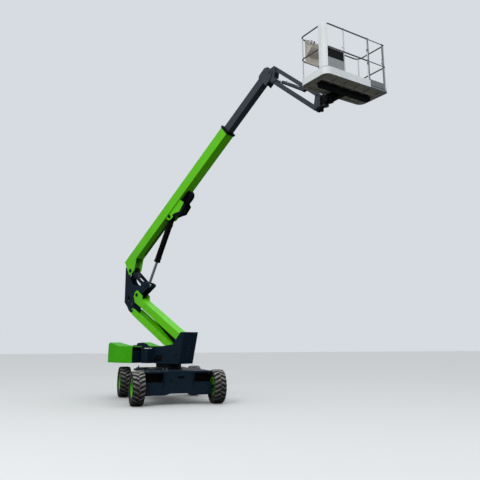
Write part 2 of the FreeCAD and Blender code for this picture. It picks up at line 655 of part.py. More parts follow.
def cylinder_pair(barrel, rod_radius, length, stroke_in, hinge_radius, cheek, eye_half):
    """Barrel and rod along +X: the barrel's bore at the origin and the rod's eye at length."""
    barrel_length, radius = barrel
    bore_start = hinge_radius + 55
    head = pin((0, 0), hinge_radius + 26, -cheek, cheek)
    tube = Part.makeCylinder(radius, barrel_length - 40, Vector(40, 0, 0), Vector(1, 0, 0))
    gland = Part.makeCylinder(radius + 5, 50, Vector(barrel_length - 50, 0, 0), Vector(1, 0, 0))
    bore = Part.makeCylinder(rod_radius + FIT, barrel_length, Vector(bore_start, 0, 0), Vector(1, 0, 0))
    body = join([head, tube, gland]).cut([bore, pin((0, 0), hinge_radius + FIT, -cheek - 5, cheek + 5)])
    rod_start = bore_start + stroke_in + 5
    rod = Part.makeCylinder(rod_radius, length - rod_start, Vector(rod_start, 0, 0), Vector(1, 0, 0))
    eye = pin((length, 0), rod_radius + 18, -rod_radius - 4, rod_radius + 4)
    return body, join([rod, eye, pin((length, 0), hinge_radius - 6, -eye_half, eye_half)])


def make_tower_cylinder():
    parts = cylinder_pair(TOWER_BARREL, TOWER_ROD_R, distance(TOWER_CYL_PIN, TOWER_EYE), 215, 28, 51, 60)
    return [aimed(piece, TOWER_CYL_PIN, TOWER_EYE) for piece in parts]


def make_lift_cylinder():
    parts = cylinder_pair(LIFT_BARREL, LIFT_ROD_R, distance(LIFT_HINGE, LIFT_EYE), 665, LIFT_PIN_R, 60, 98)
    return [aimed(piece, LIFT_HINGE, LIFT_EYE) for piece in parts]


def make_jib_cylinder():
    parts = cylinder_pair(JIB_BARREL, JIB_ROD_R, distance(JIB_CYL_PIN, JIB_ROD_EYE), 125, JIB_CYL_PIN_R, 38, 48)
    return [aimed(piece, JIB_CYL_PIN, JIB_ROD_EYE) for piece in parts]


def make_boom():
    """Box tube with its neck plates and the bracket that hangs the lift cylinder."""
    low, high = BOOM_P
    inner = BOOM_HALF - PLATE
    tube = box((BOOM_REAR, BOOM_TIP), (-BOOM_HALF, BOOM_HALF), BOOM_P)
    tube = tube.cut(box((BOOM_REAR - 5, BOOM_TIP + 5), (-inner, inner), (low + BOOM_WALL, high - BOOM_WALL)))
    tube = tube.cut(box((BOOM_REAR - 5, NECK_T), (-inner, inner), (low - 5, low + BOOM_WALL + 5)))
    neck = [(BOOM_REAR, high), (-130, 0), (-130, -60), (-60, -100), (130, -108), (NECK_T, low), (NECK_T + 80, high)]
    t, p = LIFT_PIN
    bracket = [(t - 150, low), (t - 95, -15), (t - 30, -62), (t + 110, -70), (t + 235, -150), (t + 374, -253),
               (t + 640, -215), (t + 662, -85), (t + 600, low)]
    parts = [tube] + pair(lambda a, b: plate(neck, a, b), inner, BOOM_HALF)
    parts += pair(lambda a, b: plate(bracket, a, b), BRACKET_Y[0], BRACKET_Y[1])
    parts += pair(lambda a, b: pin(LIFT_PIN, 60, a, b), BRACKET_Y[0], BRACKET_Y[1] + 6)
    parts.append(pin(LIFT_PIN, LIFT_PIN_R, -BRACKET_Y[1] - 12, BRACKET_Y[1] + 12))
    shape = join(parts).cut(pin((0, 0), ARM_PIN_R + FIT, -200, 200))
    return moved(shape, BOOM_PIVOT, BOOM_RISE)


def make_carrier():
    """Loop of the hose carrier under the boom, a flat oval band."""
    t0, t1 = CARRIER_T
    p0, p1 = CARRIER_P
    radius = (p1 - p0) / 2
    mid = (p0 + p1) / 2
    shape = strap((t0, mid), radius, (t1 - radius, mid), radius, -CARRIER_HALF, CARRIER_HALF)
    inside = radius - CARRIER_BAND
    shape = shape.cut(strap((t0, mid), inside, (t1 - radius, mid), inside, -CARRIER_HALF - 5, CARRIER_HALF + 5))
    hanger = box((t0, t0 + 80), (-CARRIER_HALF, CARRIER_HALF), (p1 - 20, BOOM_P[0] - SEAT))
    return moved(join([shape, hanger]), BOOM_PIVOT, BOOM_RISE)


def make_collar():
    """Flange at the boom's mouth, its wear pads running on the fly boom."""
    low, high = BOOM_P
    ring = box((BOOM_TIP, BOOM_TIP + COLLAR_T), (-BOOM_HALF - COLLAR_LIP, BOOM_HALF + COLLAR_LIP),
               (low - COLLAR_LIP, high + COLLAR_LIP))
    mouth = box((BOOM_TIP - 5, BOOM_TIP + COLLAR_T + 5), (-FLY_HALF - SEAT, FLY_HALF + SEAT),
                (FLY_P[0] - SEAT, FLY_P[1] + SEAT))
    return moved(ring.cut(mouth), BOOM_PIVOT, BOOM_RISE)


def make_fly():
    """Inner telescoping tube with a ring of wear pads at its rear."""
    low, high = FLY_P
    tube = box(FLY_T, (-FLY_HALF, FLY_HALF), FLY_P)
    bore = box((FLY_T[0] - 5, FLY_T[1] + 5), (-FLY_HALF + FLY_WALL, FLY_HALF - FLY_WALL),
               (low + FLY_WALL, high - FLY_WALL))
    slide = BOOM_HALF - PLATE - SEAT
    pads = box((FLY_T[0] + 20, FLY_T[0] + 140), (-slide, slide),
               (BOOM_P[0] + BOOM_WALL + SEAT, BOOM_P[1] - BOOM_WALL - SEAT))
    return moved(join([tube, pads]).cut(bore), BOOM_PIVOT, BOOM_RISE)


def make_fly_head():
    """Cheeks on both sides of the fly boom's end, with the levelling pivot between them."""
    start = FLY_HEAD_T
    t, p = LEVEL_PIVOT
    cheek = [(start, 385), (start + 60, 425), (t - 20, 430), (t + 65, 350), (t + 85, 220), (t + 60, 120),
             (t - 40, 70), (t - 160, 15), (start, 15)]
    inner, outer = HEAD_Y
    parts = pair(lambda a, b: plate(cheek, a, b), inner, outer)
    parts.append(box((start, start + 14), (-outer, outer), (FLY_P[0] - 45, FLY_P[0])))
    parts.append(pin(LEVEL_PIVOT, ARM_PIN_R, -outer - 8, outer + 8))
    return moved(join(parts), BOOM_PIVOT, BOOM_RISE)


def make_jib_bracket():
    """Levelling bracket: plates from the fly head's pivot to both jib arms and the jib cylinder."""
    inner, outer = BRACKET_PLATE_Y

    def side(a, b):
        links = [strap(LEVEL_PIN, 66, JIB_HEAD_TOP, 50, a, b), strap(JIB_HEAD_TOP, 50, JIB_HEAD_LOW, 52, a, b),
                 strap(LEVEL_PIN, 66, JIB_HEAD_LOW, 52, a, b), strap(JIB_HEAD_LOW, 52, JIB_ROD_EYE, 34, a, b)]
        return links[0].fuse(links[1:])

    parts = pair(side, inner, outer)
    parts.append(pin(LEVEL_PIN, LEVEL_TUBE_R, -inner - 1, inner + 1))
    parts.append(pin(JIB_HEAD_TOP, JIB_PIN_R, -outer - 3, outer + 3))
    parts += pair(lambda a, b: pin(JIB_HEAD_LOW, JIB_PIN_R, a, b), JIB_LOWER_HALF - PLATE, outer + 3)
    return join(parts).cut(pin(LEVEL_PIN, ARM_PIN_R + FIT, -200, 200))


def make_jib_upper():
    """Square tube with the knee that holds the jib cylinder's barrel."""
    half, deep = JIB_UPPER_HALF, JIB_UPPER_DEEP
    reach = BRACKET_PLATE_Y[0] - SEAT
    tube = box((20, JIB_LENGTH - 20), (-half, half), (-deep, deep))
    ends = [pin((t, 0), 44, -reach, reach) for t in (0, JIB_LENGTH)]
    t, p = JIB_CYL_T, JIB_CYL_P
    knee = [(t - 150, -deep), (t - 45, p - 30), (t + 30, p - 36), (t + 70, -deep)]
    lugs = pair(lambda a, b: plate(knee, a, b), JIB_KNEE_Y[0], JIB_KNEE_Y[1])
    pocket = box((t - 120, t + 60), (-JIB_KNEE_Y[0], JIB_KNEE_Y[0]), (-deep - 5, 0))
    hollow = box((80, JIB_LENGTH - 80), (-half + 8, half - 8), (-deep + 8, deep - 8))
    shape = join([join([tube] + ends).cut([pocket, hollow])] + lugs)
    shape = join([shape, pin((t, p), JIB_CYL_PIN_R, -JIB_KNEE_Y[1] - 3, JIB_KNEE_Y[1] + 3)])
    for at in (0, JIB_LENGTH):
        shape = shape.cut(pin((at, 0), JIB_PIN_R + FIT, -100, 100))
    return moved(shape, JIB_HEAD_TOP, -JIB_DROP)


def make_jib_lower():
    """Channel open above, with a bottom web past the stretch that the cylinder dips into."""
    half, deep = JIB_LOWER_HALF, JIB_LOWER_DEEP
    inner = half - 10
    reach = BRACKET_PLATE_Y[0] - SEAT
    bars = pair(lambda a, b: strap((0, 0), deep, (JIB_LENGTH, 0), deep, a, b), inner, half)
    bosses = []
    for t in (0, JIB_LENGTH):
        bosses += pair(lambda a, b: pin((t, 0), 44, a, b), inner, reach)
    web = box((JIB_WEB_T, JIB_LENGTH - 60), (-half, half), (-deep, -deep + 10))
    shape = join(bars + bosses + [web])
    for t in (0, JIB_LENGTH):
        shape = shape.cut(pin((t, 0), JIB_PIN_R + FIT, -100, 100))
    return moved(shape, JIB_HEAD_LOW, -JIB_DROP)


def make_end_bracket():
    """Upright plates that both jib arms end in, with the rotator's seat and shaft in front."""
    inner, outer = BRACKET_PLATE_Y
    s, z = JIB_END_TOP
    z_low, seat_t = JIB_END_LOW[1] + ROTATOR_SEAT[0], ROTATOR_SEAT[1]
    z_high = z - 40
    parts = pair(lambda a, b: strap(JIB_END_TOP, 50, JIB_END_LOW, 50, a, b), inner, outer)
    parts += pair(lambda a, b: plate([(s, z_low), (s + 78, z_low), (s + 78, z_high), (s, z_high)], a, b), inner, outer)
    parts.append(pin(JIB_END_TOP, JIB_PIN_R, -outer - 3, outer + 3))
    parts += pair(lambda a, b: pin(JIB_END_LOW, JIB_PIN_R, a, b), JIB_LOWER_HALF - PLATE, outer + 3)
    parts.append(box((s + 62, s + 78), (-outer, outer), (z_low, z_high)))
    parts.append(box((s + 62, s + ROTATOR_S), (-60, 60), (z_low, z_low + seat_t)))
    parts.append(post(s + ROTATOR_S, 0, ROTATOR_R, z_low, z_low + seat_t))
    parts.append(post(s + ROTATOR_S, 0, ROTATOR_SHAFT_R, z_low, z_high))
    return join(parts)


def on_platform(shape):
    """From the platform's frame, x forward from the rotator's axis, to the boom plane."""
    shape = shape.copy()
    shape.Placement = Placement(Vector(ROTATOR_AXIS[0], 0, 0), Rotation(Vector(0, 0, 1), PLATFORM_TURN))
    return shape


def make_rotator():
    """Rotary drum on the end bracket's shaft, its arm and the long beam under the floor."""
    z0 = JIB_END_LOW[1] + sum(ROTATOR_SEAT) + SEAT
    z1 = JIB_END_TOP[1] - 40
    beam_z = (FLOOR_Z - SUPPORT_Z, FLOOR_Z - RIB_DEEP - SEAT)
    mid = sum(PLATFORM_X) / 2
    arm = box((60, mid), (-65, 65), beam_z)
    beam = box((mid - 60, mid + 60), (-PLATFORM_HALF + 190, PLATFORM_HALF - 190), beam_z)
    shape = join([post(0, 0, ROTATOR_R, z0, z1), arm, beam]).cut(post(0, 0, ROTATOR_SHAFT_R + FIT, z0 - 5, z1 + 5))
    return on_platform(shape)


def rounded_block(inset, z0, z1):
    """The platform's plan with its round corners, set in from the outside, between two heights."""
    half = PLATFORM_HALF - inset
    block = box((PLATFORM_X[0] + inset, PLATFORM_X[1] - inset), (-half, half), (z0, z1))
    upright = [e for e in block.Edges if abs(e.Vertexes[0].Z - e.Vertexes[-1].Z) > 1]
    gate_side = [e for e in upright if e.Vertexes[0].X > PLATFORM_X[0] + inset + 1 and e.Vertexes[0].Y > 0]
    block = block.makeFillet(max(GATE_CORNER_R - inset, FLOOR_SHEET), gate_side)
    upright = [e for e in block.Edges if abs(e.Vertexes[0].Z - e.Vertexes[-1].Z) > 1
               and (e.Vertexes[0].X < PLATFORM_X[0] + inset + 1 or e.Vertexes[0].Y < 0)]
    return block.makeFillet(CORNER_R - inset, upright)


def make_floor():
    """Floor sheet on its grid of ribs, with the raised mat that people stand on."""
    inset, mat = FLOOR_MAT
    sheet = rounded_block(TOE_T + SEAT, FLOOR_Z - mat - FLOOR_SHEET, FLOOR_Z - mat)
    x0, x1 = PLATFORM_X[0] + 30, PLATFORM_X[1] - 30
    y1 = PLATFORM_HALF - 30
    z = (FLOOR_Z - RIB_DEEP, FLOOR_Z - mat - FLOOR_SHEET)
    parts = [sheet, rounded_block(inset, FLOOR_Z - mat, FLOOR_Z)]
    for i in range(6):
        y = -y1 + 110 + i * (2 * y1 - 220) / 5
        parts.append(box((x0, x1), (y - 15, y + 15), z))
    for i in range(4):
        x = x0 + 15 + i * (x1 - x0 - 30) / 3
        parts.append(box((x - 15, x + 15), (-y1 + 95, y1 - 95), z))
    return on_platform(join(parts))


def make_toe_boards():
    """Band round the platform from under the floor to the kick height, open at the gate."""
    outer = rounded_block(0, FLOOR_Z - RIB_DEEP, FLOOR_Z + TOE_H)
    shape = outer.cut(rounded_block(TOE_T, FLOOR_Z - RIB_DEEP - 5, FLOOR_Z + TOE_H + 5))
    gap = box((PLATFORM_X[1] - 40, PLATFORM_X[1] + 5), (GATE_Y[0] - 4, GATE_Y[1] + 4),
              (FLOOR_Z + 5, FLOOR_Z + TOE_H + 5))
    return on_platform(shape.cut(gap))


def rail_loop(z, radius):
    """A tube bent round the platform, open at the gate, as straight lengths and quarter bends."""
    x0, x1 = PLATFORM_X[0] + RAIL_IN, PLATFORM_X[1] - RAIL_IN
    y1 = PLATFORM_HALF - RAIL_IN
    here = Vector(x1, GATE_Y[1] + GATE_TUBE_R / 2, z)
    parts = []
    # corner, the unit steps into it and out of it, and its outer radius
    corners = [((x1, y1), (0, 1), (-1, 0), GATE_CORNER_R), ((x0, y1), (-1, 0), (0, -1), CORNER_R),
               ((x0, -y1), (0, -1), (1, 0), CORNER_R), ((x1, -y1), (1, 0), (0, 1), CORNER_R)]
    for (cx, cy), (ax, ay), (bx, by), outer in corners:
        bend = outer - RAIL_IN
        start = Vector(cx - ax * bend, cy - ay * bend, z)
        parts.append(Part.makeCylinder(radius, (start - here).Length, here, start - here))
        centre = Vector(cx - ax * bend + bx * bend, cy - ay * bend + by * bend, z)
        ring = Part.Face(Part.Wire(Part.makeCircle(radius, start, Vector(ax, ay, 0))))
        parts.append(ring.revolve(centre, Vector(0, 0, 1), 90))
        here = Vector(cx + bx * bend, cy + by * bend, z)
    last = Vector(x1, POST_Y[1], z)
    parts.append(Part.makeCylinder(radius, (last - here).Length, here, last - here))
    return join(parts)


def rail_posts():
    """Plan positions of the posts: the four bends and the long sides, one of them beside the gate."""
    x0, x1 = PLATFORM_X[0] + RAIL_IN, PLATFORM_X[1] - RAIL_IN
    y1 = PLATFORM_HALF - RAIL_IN
    off, gate_off = [(outer - RAIL_IN) * (1 - math.sqrt(0.5)) + POST_IN for outer in (CORNER_R, GATE_CORNER_R)]
    bends = [(x0 + off, -y1 + off), (x0 + off, y1 - off), (x1 - gate_off, y1 - gate_off), (x1 - off, -y1 + off)]
    return bends + [(x1, POST_Y[0]), (x1, POST_Y[1]), (x0, POST_Y[0]), (x0, POST_Y[1])]


def make_rails():
    """Posts, top rail and mid rail all round, open at the gate."""
    top = FLOOR_Z + RAIL_H
    mid = rail_loop(FLOOR_Z + MID_RAIL_H, RAIL_R)
    high = mid.copy()
    high.translate(Vector(0, 0, RAIL_H - MID_RAIL_H))
    foot = FLOOR_Z - FLOOR_MAT[1] + SEAT
    return on_platform(join([mid, high] + [post(x, y, POST_R, foot, top) for x, y in rail_posts()]))


def make_panels():
    """Wide rounded sheet column at the front right corner, and the grey panel beside it."""
    z0, z1 = FLOOR_Z + TOE_H + SEAT, FLOOR_Z + RAIL_H + RAIL_R
    shell = rounded_block(0, z0, z1).cut(rounded_block(COLUMN_T, z0 - 5, z1 + 5))
    corner = box((PLATFORM_X[1] - COLUMN[0], PLATFORM_X[1] + 5), (-PLATFORM_HALF - 5, -PLATFORM_HALF + COLUMN[1]),
                 (z0, z1))
    x = PLATFORM_X[1] - RAIL_IN
    panel = box((x - 3, x + 3), (-PLATFORM_HALF + CORNER_R + 5, POST_Y[0] - RAIL_R - SEAT),
                (z0, FLOOR_Z + MID_RAIL_H - RAIL_R - SEAT))
    return [on_platform(shell.common(corner)), on_platform(panel)]


def make_console():
    """Control desk on a back panel that hangs between the two rails."""
    x = PLATFORM_X[0] + RAIL_IN + RAIL_R + SEAT
    y0, y1 = CONSOLE_Y
    top = FLOOR_Z + RAIL_H
    back = box((x, x + 6), (y0, y1), (FLOOR_Z + MID_RAIL_H - RAIL_R, top + RAIL_R))
    desk = plate([(x + 6, top - 400), (x + 150, top - 310), (x + 200, top - 250), (x + 200, top - 220),
                  (x + 6, top - 140)], y0 + 20, y1 - 20)
    return on_platform(join([back, desk]))


def make_gate():
    """Swinging gate beside the front post, with its own rails and kick plate."""
    x = PLATFORM_X[1] - RAIL_IN
    y0, y1 = GATE_Y[0], GATE_Y[1] - GATE_TUBE_R - 1
    top = FLOOR_Z + RAIL_H
    parts = [post(x, y, GATE_TUBE_R, FLOOR_Z + 12, top + RAIL_R) for y in (y0, y1)]
    for z in (FLOOR_Z + MID_RAIL_H, top):
        parts.append(pin((x, z), GATE_RAIL_R, y0, y1))
    parts.append(box((x - 3, x + 3), (y0, y1), (FLOOR_Z + 20, FLOOR_Z + GATE_KICK_H)))
    wall, deep = GATE_RING
    for z in (FLOOR_Z + MID_RAIL_H - 90, FLOOR_Z + MID_RAIL_H + 240):
        parts.append(post(x, POST_Y[1], POST_R + wall, z, z + deep))
    return on_platform(join(parts).cut(post(x, POST_Y[1], POST_R + FIT, FLOOR_Z, top + 50)))


def lower_pieces():
    """Pieces that stay with the chassis."""
    pieces = {"chassis_frame": [make_chassis()], "steer_axle": [make_steer_axle()], "slew_ring": [make_slew_ring()]}
    for name, shape in make_wheels().items():
        pieces[name] = [shape]
    for name, side in (("left", 1), ("right", -1)):
        pieces["steering_knuckle_" + name] = [make_knuckle(side)]
    return pieces


def upper_pieces():
    """Pieces that slew, drawn in the boom plane."""
    pieces = {
        "turntable_frame": [make_turntable()],
        "hood_bays": make_bay(),
        "power_blocks": make_power_blocks(),
        "counterweight": [make_counterweight()],
        "ground_controls": [make_ground_controls()],
        "hood_left": [make_hood(1)],
        "hood_right": [make_hood(-1)],
        "tower_upper_arm": [make_upper_arm()],
        "tower_lower_arm": [make_lower_arm()],
        "riser": [make_riser()],
        "main_boom": [make_boom()],
        "boom_collar": [make_collar()],
        "hose_carrier": [make_carrier()],
        "fly_boom": [make_fly()],
        "fly_head": [make_fly_head()],
        "jib_bracket": [make_jib_bracket()],
        "jib_upper_arm": [make_jib_upper()],
        "jib_lower_arm": [make_jib_lower()],
        "jib_end_bracket": [make_end_bracket()],
        "platform_rotator": [make_rotator()],
        "platform_floor": [make_floor()],
        "platform_toe_boards": [make_toe_boards()],
        "platform_rails": [make_rails()],
        "platform_panels": make_panels(),
        "platform_console": [make_console()],
        "platform_gate": [make_gate()],
    }
    for name, make in (("tower", make_tower_cylinder), ("lift", make_lift_cylinder), ("jib", make_jib_cylinder)):
        barrel, rod = make()
        pieces[name + "_cylinder_barrel"] = [barrel]
        pieces[name + "_cylinder_rod"] = [rod]
    return pieces


def all_pieces():
    pieces = lower_pieces()
    for name, shapes in upper_pieces().items():
        pieces[name] = [slewed(shape) for shape in shapes]
    return pieces


def main():
    os.makedirs("parts", exist_ok=True)
    for name, shapes in all_pieces().items():
        shape = shapes[0] if len(shapes) == 1 else Part.makeCompound(shapes)
        shape.exportStep("parts/" + name + ".step")
        print(name, len(shape.Solids), round(shape.Volume / 1e6, 2), shape.isValid())


if __name__ == "__main__":
    main()
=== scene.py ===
"""Articulating boom lift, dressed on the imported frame.

Every small piece is laid out in the plane or beam that carries it and rides on that body.
"""
import math

import bmesh
import bpy
import numpy as np
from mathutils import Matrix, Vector


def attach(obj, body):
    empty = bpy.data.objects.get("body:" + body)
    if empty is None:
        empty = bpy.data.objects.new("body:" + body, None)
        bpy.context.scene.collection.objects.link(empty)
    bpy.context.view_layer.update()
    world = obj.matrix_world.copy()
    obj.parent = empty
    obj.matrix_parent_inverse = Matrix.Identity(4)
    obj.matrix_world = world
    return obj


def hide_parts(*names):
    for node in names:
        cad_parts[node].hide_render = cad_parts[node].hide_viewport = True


bl_info = {
    "name": "Boom Lift",
    "version": (1, 0, 0),
    "blender": (4, 5, 0),
    "location": "View3D > Sidebar > Boom Lift",
    "description": "Dresses an articulating boom lift on its packed frame",
    "category": "Object",
}

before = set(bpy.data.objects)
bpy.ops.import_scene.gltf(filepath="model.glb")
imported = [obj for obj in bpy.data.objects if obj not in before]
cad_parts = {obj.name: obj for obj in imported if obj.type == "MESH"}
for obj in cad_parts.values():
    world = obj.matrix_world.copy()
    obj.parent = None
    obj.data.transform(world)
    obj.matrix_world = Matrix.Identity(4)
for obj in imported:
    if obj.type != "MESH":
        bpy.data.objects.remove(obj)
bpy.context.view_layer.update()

SIDES = (-1, 1)
QUARTER = math.pi / 2
TURN = 2 * math.pi

# Attitude and pivots in the boom's upright plane, in metres and degrees
SLEW = 29.5
TOWER_RISE = 30.3
BOOM_RISE = 39.5
JIB_DROP = 41.5
PLATFORM_TURN = -15.0
TOWER_TOP = (0.740, 1.650)
TOWER_LENGTH = 2.398
TOWER_OFFSET = (-0.200, -0.450)
TOWER_FOOT = (0.450, 1.370)
TOWER_ROD_PIN = (2.150, 0.160)
BOOM_FROM_RISER = (-0.360, 0.740)
EYE_FROM_RISER = (0.350, 0.260)
HOLE_FROM_BOOM = (-0.050, -0.820)
LIFT_PIN = (2.200, 0.040)
LEVEL_PIVOT = (7.180, 0.215)
JIB_TOP = (0.147, 0.067)
JIB_OFFSET = (-0.060, -0.340)
JIB_EYE = (0.070, -0.350)
JIB_ROD_PIN = (1.200, -0.080)
JIB_LENGTH = 1.720
ROTATOR_S = 0.170
FLOOR_DROP = 0.128

# Wheels: centre along and across, and the body's name
WHEEL_R = 0.415
WHEEL_W = 0.307
WHEELS = [(1.2, 1.02, "drive_left"), (1.2, -1.02, "drive_right"),
          (-1.2, 1.02, "steer_left"), (-1.2, -1.02, "steer_right")]

# Faces of the main solids that carry small pieces: height of the chassis deck, and how far the
# turntable's plates, the tower pins, the boom's bracket, the jib head and the jib end stand off the middle
DECK_TOP = 0.800
AXLE_HALF = 0.620
TABLE_HALF = 0.250
RISER_HALF = 0.158
HEAD_HALF = 0.092
END_HALF = 0.095

# The turntable's leaning front: its foot, and how far it runs and rises
FRONT_FOOT = (0.680, 0.950)
FRONT_RUN = 0.190
FRONT_RISE = 0.820

# The loop of the hose carrier under the boom: where it starts, its straight length, the height of its
# middle line and the radius of its ends
LOOP_START = 2.600
LOOP_LENGTH = 0.482
LOOP_MID = -0.025
LOOP_R = 0.112

# Platform: its ends along the deck's frame, its half width, its corners and the heights above its floor
X0, X1 = 0.214, 1.095
HALF = 0.946
CORNER_R = 0.150
GATE_CORNER_R = 0.060
POST_Y = (-0.372, 0.362)
GATE_Y = (0.394, 0.853)
MID_RAIL = 0.610
TOP_RAIL = 1.165
TOE_H = 0.130
RAIL_IN = 0.0228
RAIL_X0, RAIL_X1 = X0 + RAIL_IN, X1 - RAIL_IN
MOUNT_DROP = 0.052


def rotated(x, y, degrees):
    """A point turned about the origin."""
    a = math.radians(degrees)
    return (x * math.cos(a) - y * math.sin(a), x * math.sin(a) + y * math.cos(a))


def plus(a, b):
    """The sum of two points of a plane."""
    return (a[0] + b[0], a[1] + b[1])


TOWER_LOW = plus(TOWER_TOP, TOWER_OFFSET)
RISER_TOP = plus(TOWER_TOP, rotated(TOWER_LENGTH, 0, 180 - TOWER_RISE))
RISER_LOW = plus(RISER_TOP, TOWER_OFFSET)
BOOM_PIVOT = plus(RISER_TOP, BOOM_FROM_RISER)
LIFT_EYE = plus(RISER_TOP, EYE_FROM_RISER)
RISER_HOLE = plus(BOOM_PIVOT, HOLE_FROM_BOOM)
LIFT_HINGE = plus(BOOM_PIVOT, rotated(*LIFT_PIN, BOOM_RISE))
LEVEL_PIN = plus(BOOM_PIVOT, rotated(*LEVEL_PIVOT, BOOM_RISE))
JIB_UP = plus(LEVEL_PIN, JIB_TOP)
JIB_LOW = plus(JIB_UP, JIB_OFFSET)
JIB_END = plus(JIB_UP, rotated(JIB_LENGTH, 0, -JIB_DROP))
JIB_END_LOW = plus(JIB_END, JIB_OFFSET)
ROTATOR = plus(JIB_END, (ROTATOR_S, 0))
FLOOR_Z = JIB_END[1] - FLOOR_DROP


class Place:
    """A frame on the machine: x along the beam or plane, y to its left, z square to both.

    The axes are those of the row frame, tipped by the rise, or by its mirror where flip is set, and
    then turned about the upright. A point becomes the origin plus each coordinate times its axis.
    """

    def __init__(self, origin, rise=0.0, turn=SLEW, flip=False):
        a = math.radians(rise)
        way = -1 if flip else 1
        x = np.array([way * math.cos(a), 0, math.sin(a)])
        z = np.array([-way * math.sin(a), 0, math.cos(a)])
        y = np.array([0, 1.0, 0])
        c, s = rotated(1, 0, turn)
        spin = np.array([[c, -s, 0], [s, c, 0], [0, 0, 1.0]])
        self.axes = spin @ np.stack([x, y, z], axis=1)
        if len(origin) == 2:
            origin = (*rotated(origin[0], 0, SLEW), origin[1])
        self.origin = np.array(origin, float)

    def put(self, points):
        """Points of this frame, given in the row frame."""
        return self.origin + np.asarray(points, float) @ self.axes.T


def between(a, b):
    """The frame of a cylinder that runs from one pin to another in the boom plane."""
    return Place(a, math.degrees(math.atan2(b[1] - a[1], b[0] - a[0])))


ROW = Place((0, 0, 0), turn=0)
TABLE = Place((0.0, 0.0))
ARM_UP = Place(TOWER_TOP, TOWER_RISE, flip=True)
ARM_LOW = Place(TOWER_LOW, TOWER_RISE, flip=True)
TOWER_BARREL = between(TOWER_FOOT, plus(TOWER_TOP, rotated(*TOWER_ROD_PIN, 180 - TOWER_RISE)))
BOOM = Place(BOOM_PIVOT, BOOM_RISE)
LIFT_BARREL = between(LIFT_HINGE, LIFT_EYE)
JIB_B = Place(JIB_LOW, -JIB_DROP)
JIB_BARREL = between(plus(JIB_UP, rotated(*JIB_ROD_PIN, -JIB_DROP)), plus(JIB_UP, JIB_EYE))
DECK = Place((ROTATOR[0], 0.0), turn=SLEW + PLATFORM_TURN)


def across(side, near, far):
    """The stretch in y between two distances from the middle plane, on one side of it."""
    return sorted((side * near, side * far))


def about(middle, half):
    """The stretch that reaches as far to both sides of its middle."""
    return (middle - half, middle + half)


def above(low, high):
    """The stretch in z between two heights over the platform's floor."""
    return (FLOOR_Z + low, FLOOR_Z + high)


def front(z):
    """How far forward the turntable's leaning front stands at a height."""
    return FRONT_FOOT[0] + FRONT_RUN * (z - FRONT_FOOT[1]) / FRONT_RISE


def arc(centre, radius, start, end, count):
    """Points of a circle in a plane: its centre plus the radius times the cosine and sine of each angle."""
    a = np.linspace(start, end, count)
    return np.array(centre) + np.array(radius) * np.stack([np.cos(a), np.sin(a)], axis=1)


def ring(radius, count, start=0.0):
    """Places spaced evenly round a full circle about the origin."""
    return arc((0, 0), radius, start, start + TURN, count + 1)[:-1]


def upright(y, pairs):
    """Points of the upright plane at y, from their places along it and their heights."""
    return [(s, y, z) for s, z in pairs]


def box_faces():
    """Faces of a box with chamfered edges, whose corner c has the points 3c, 3c + 1 and 3c + 2.

    Point k of a corner lies in the side that is square to axis k. A side joins its four corners' points,
    an edge joins the two sides that meet there, and a corner is the triangle of its own three points.
    """
    spot = np.arange(24).reshape(2, 2, 2, 3)
    quads = []
    for axis, p, q in ((0, 1, 2), (1, 0, 2), (2, 0, 1)):
        turned = np.moveaxis(spot, axis, 0)
        for side in turned[..., axis]:
            quads.append([side[0, 0], side[1, 0], side[1, 1], side[0, 1]])
        low, high = turned.reshape(2, 4, 3)
        quads += np.stack([low[:, p], low[:, q], high[:, q], high[:, p]], axis=1).tolist()
    return np.array(quads), spot.reshape(8, 3)


BOX_CORNERS = np.array([(x, y, z) for x in SIDES for y in SIDES for z in SIDES])
BOX_QUADS, BOX_TRIANGLES = box_faces()


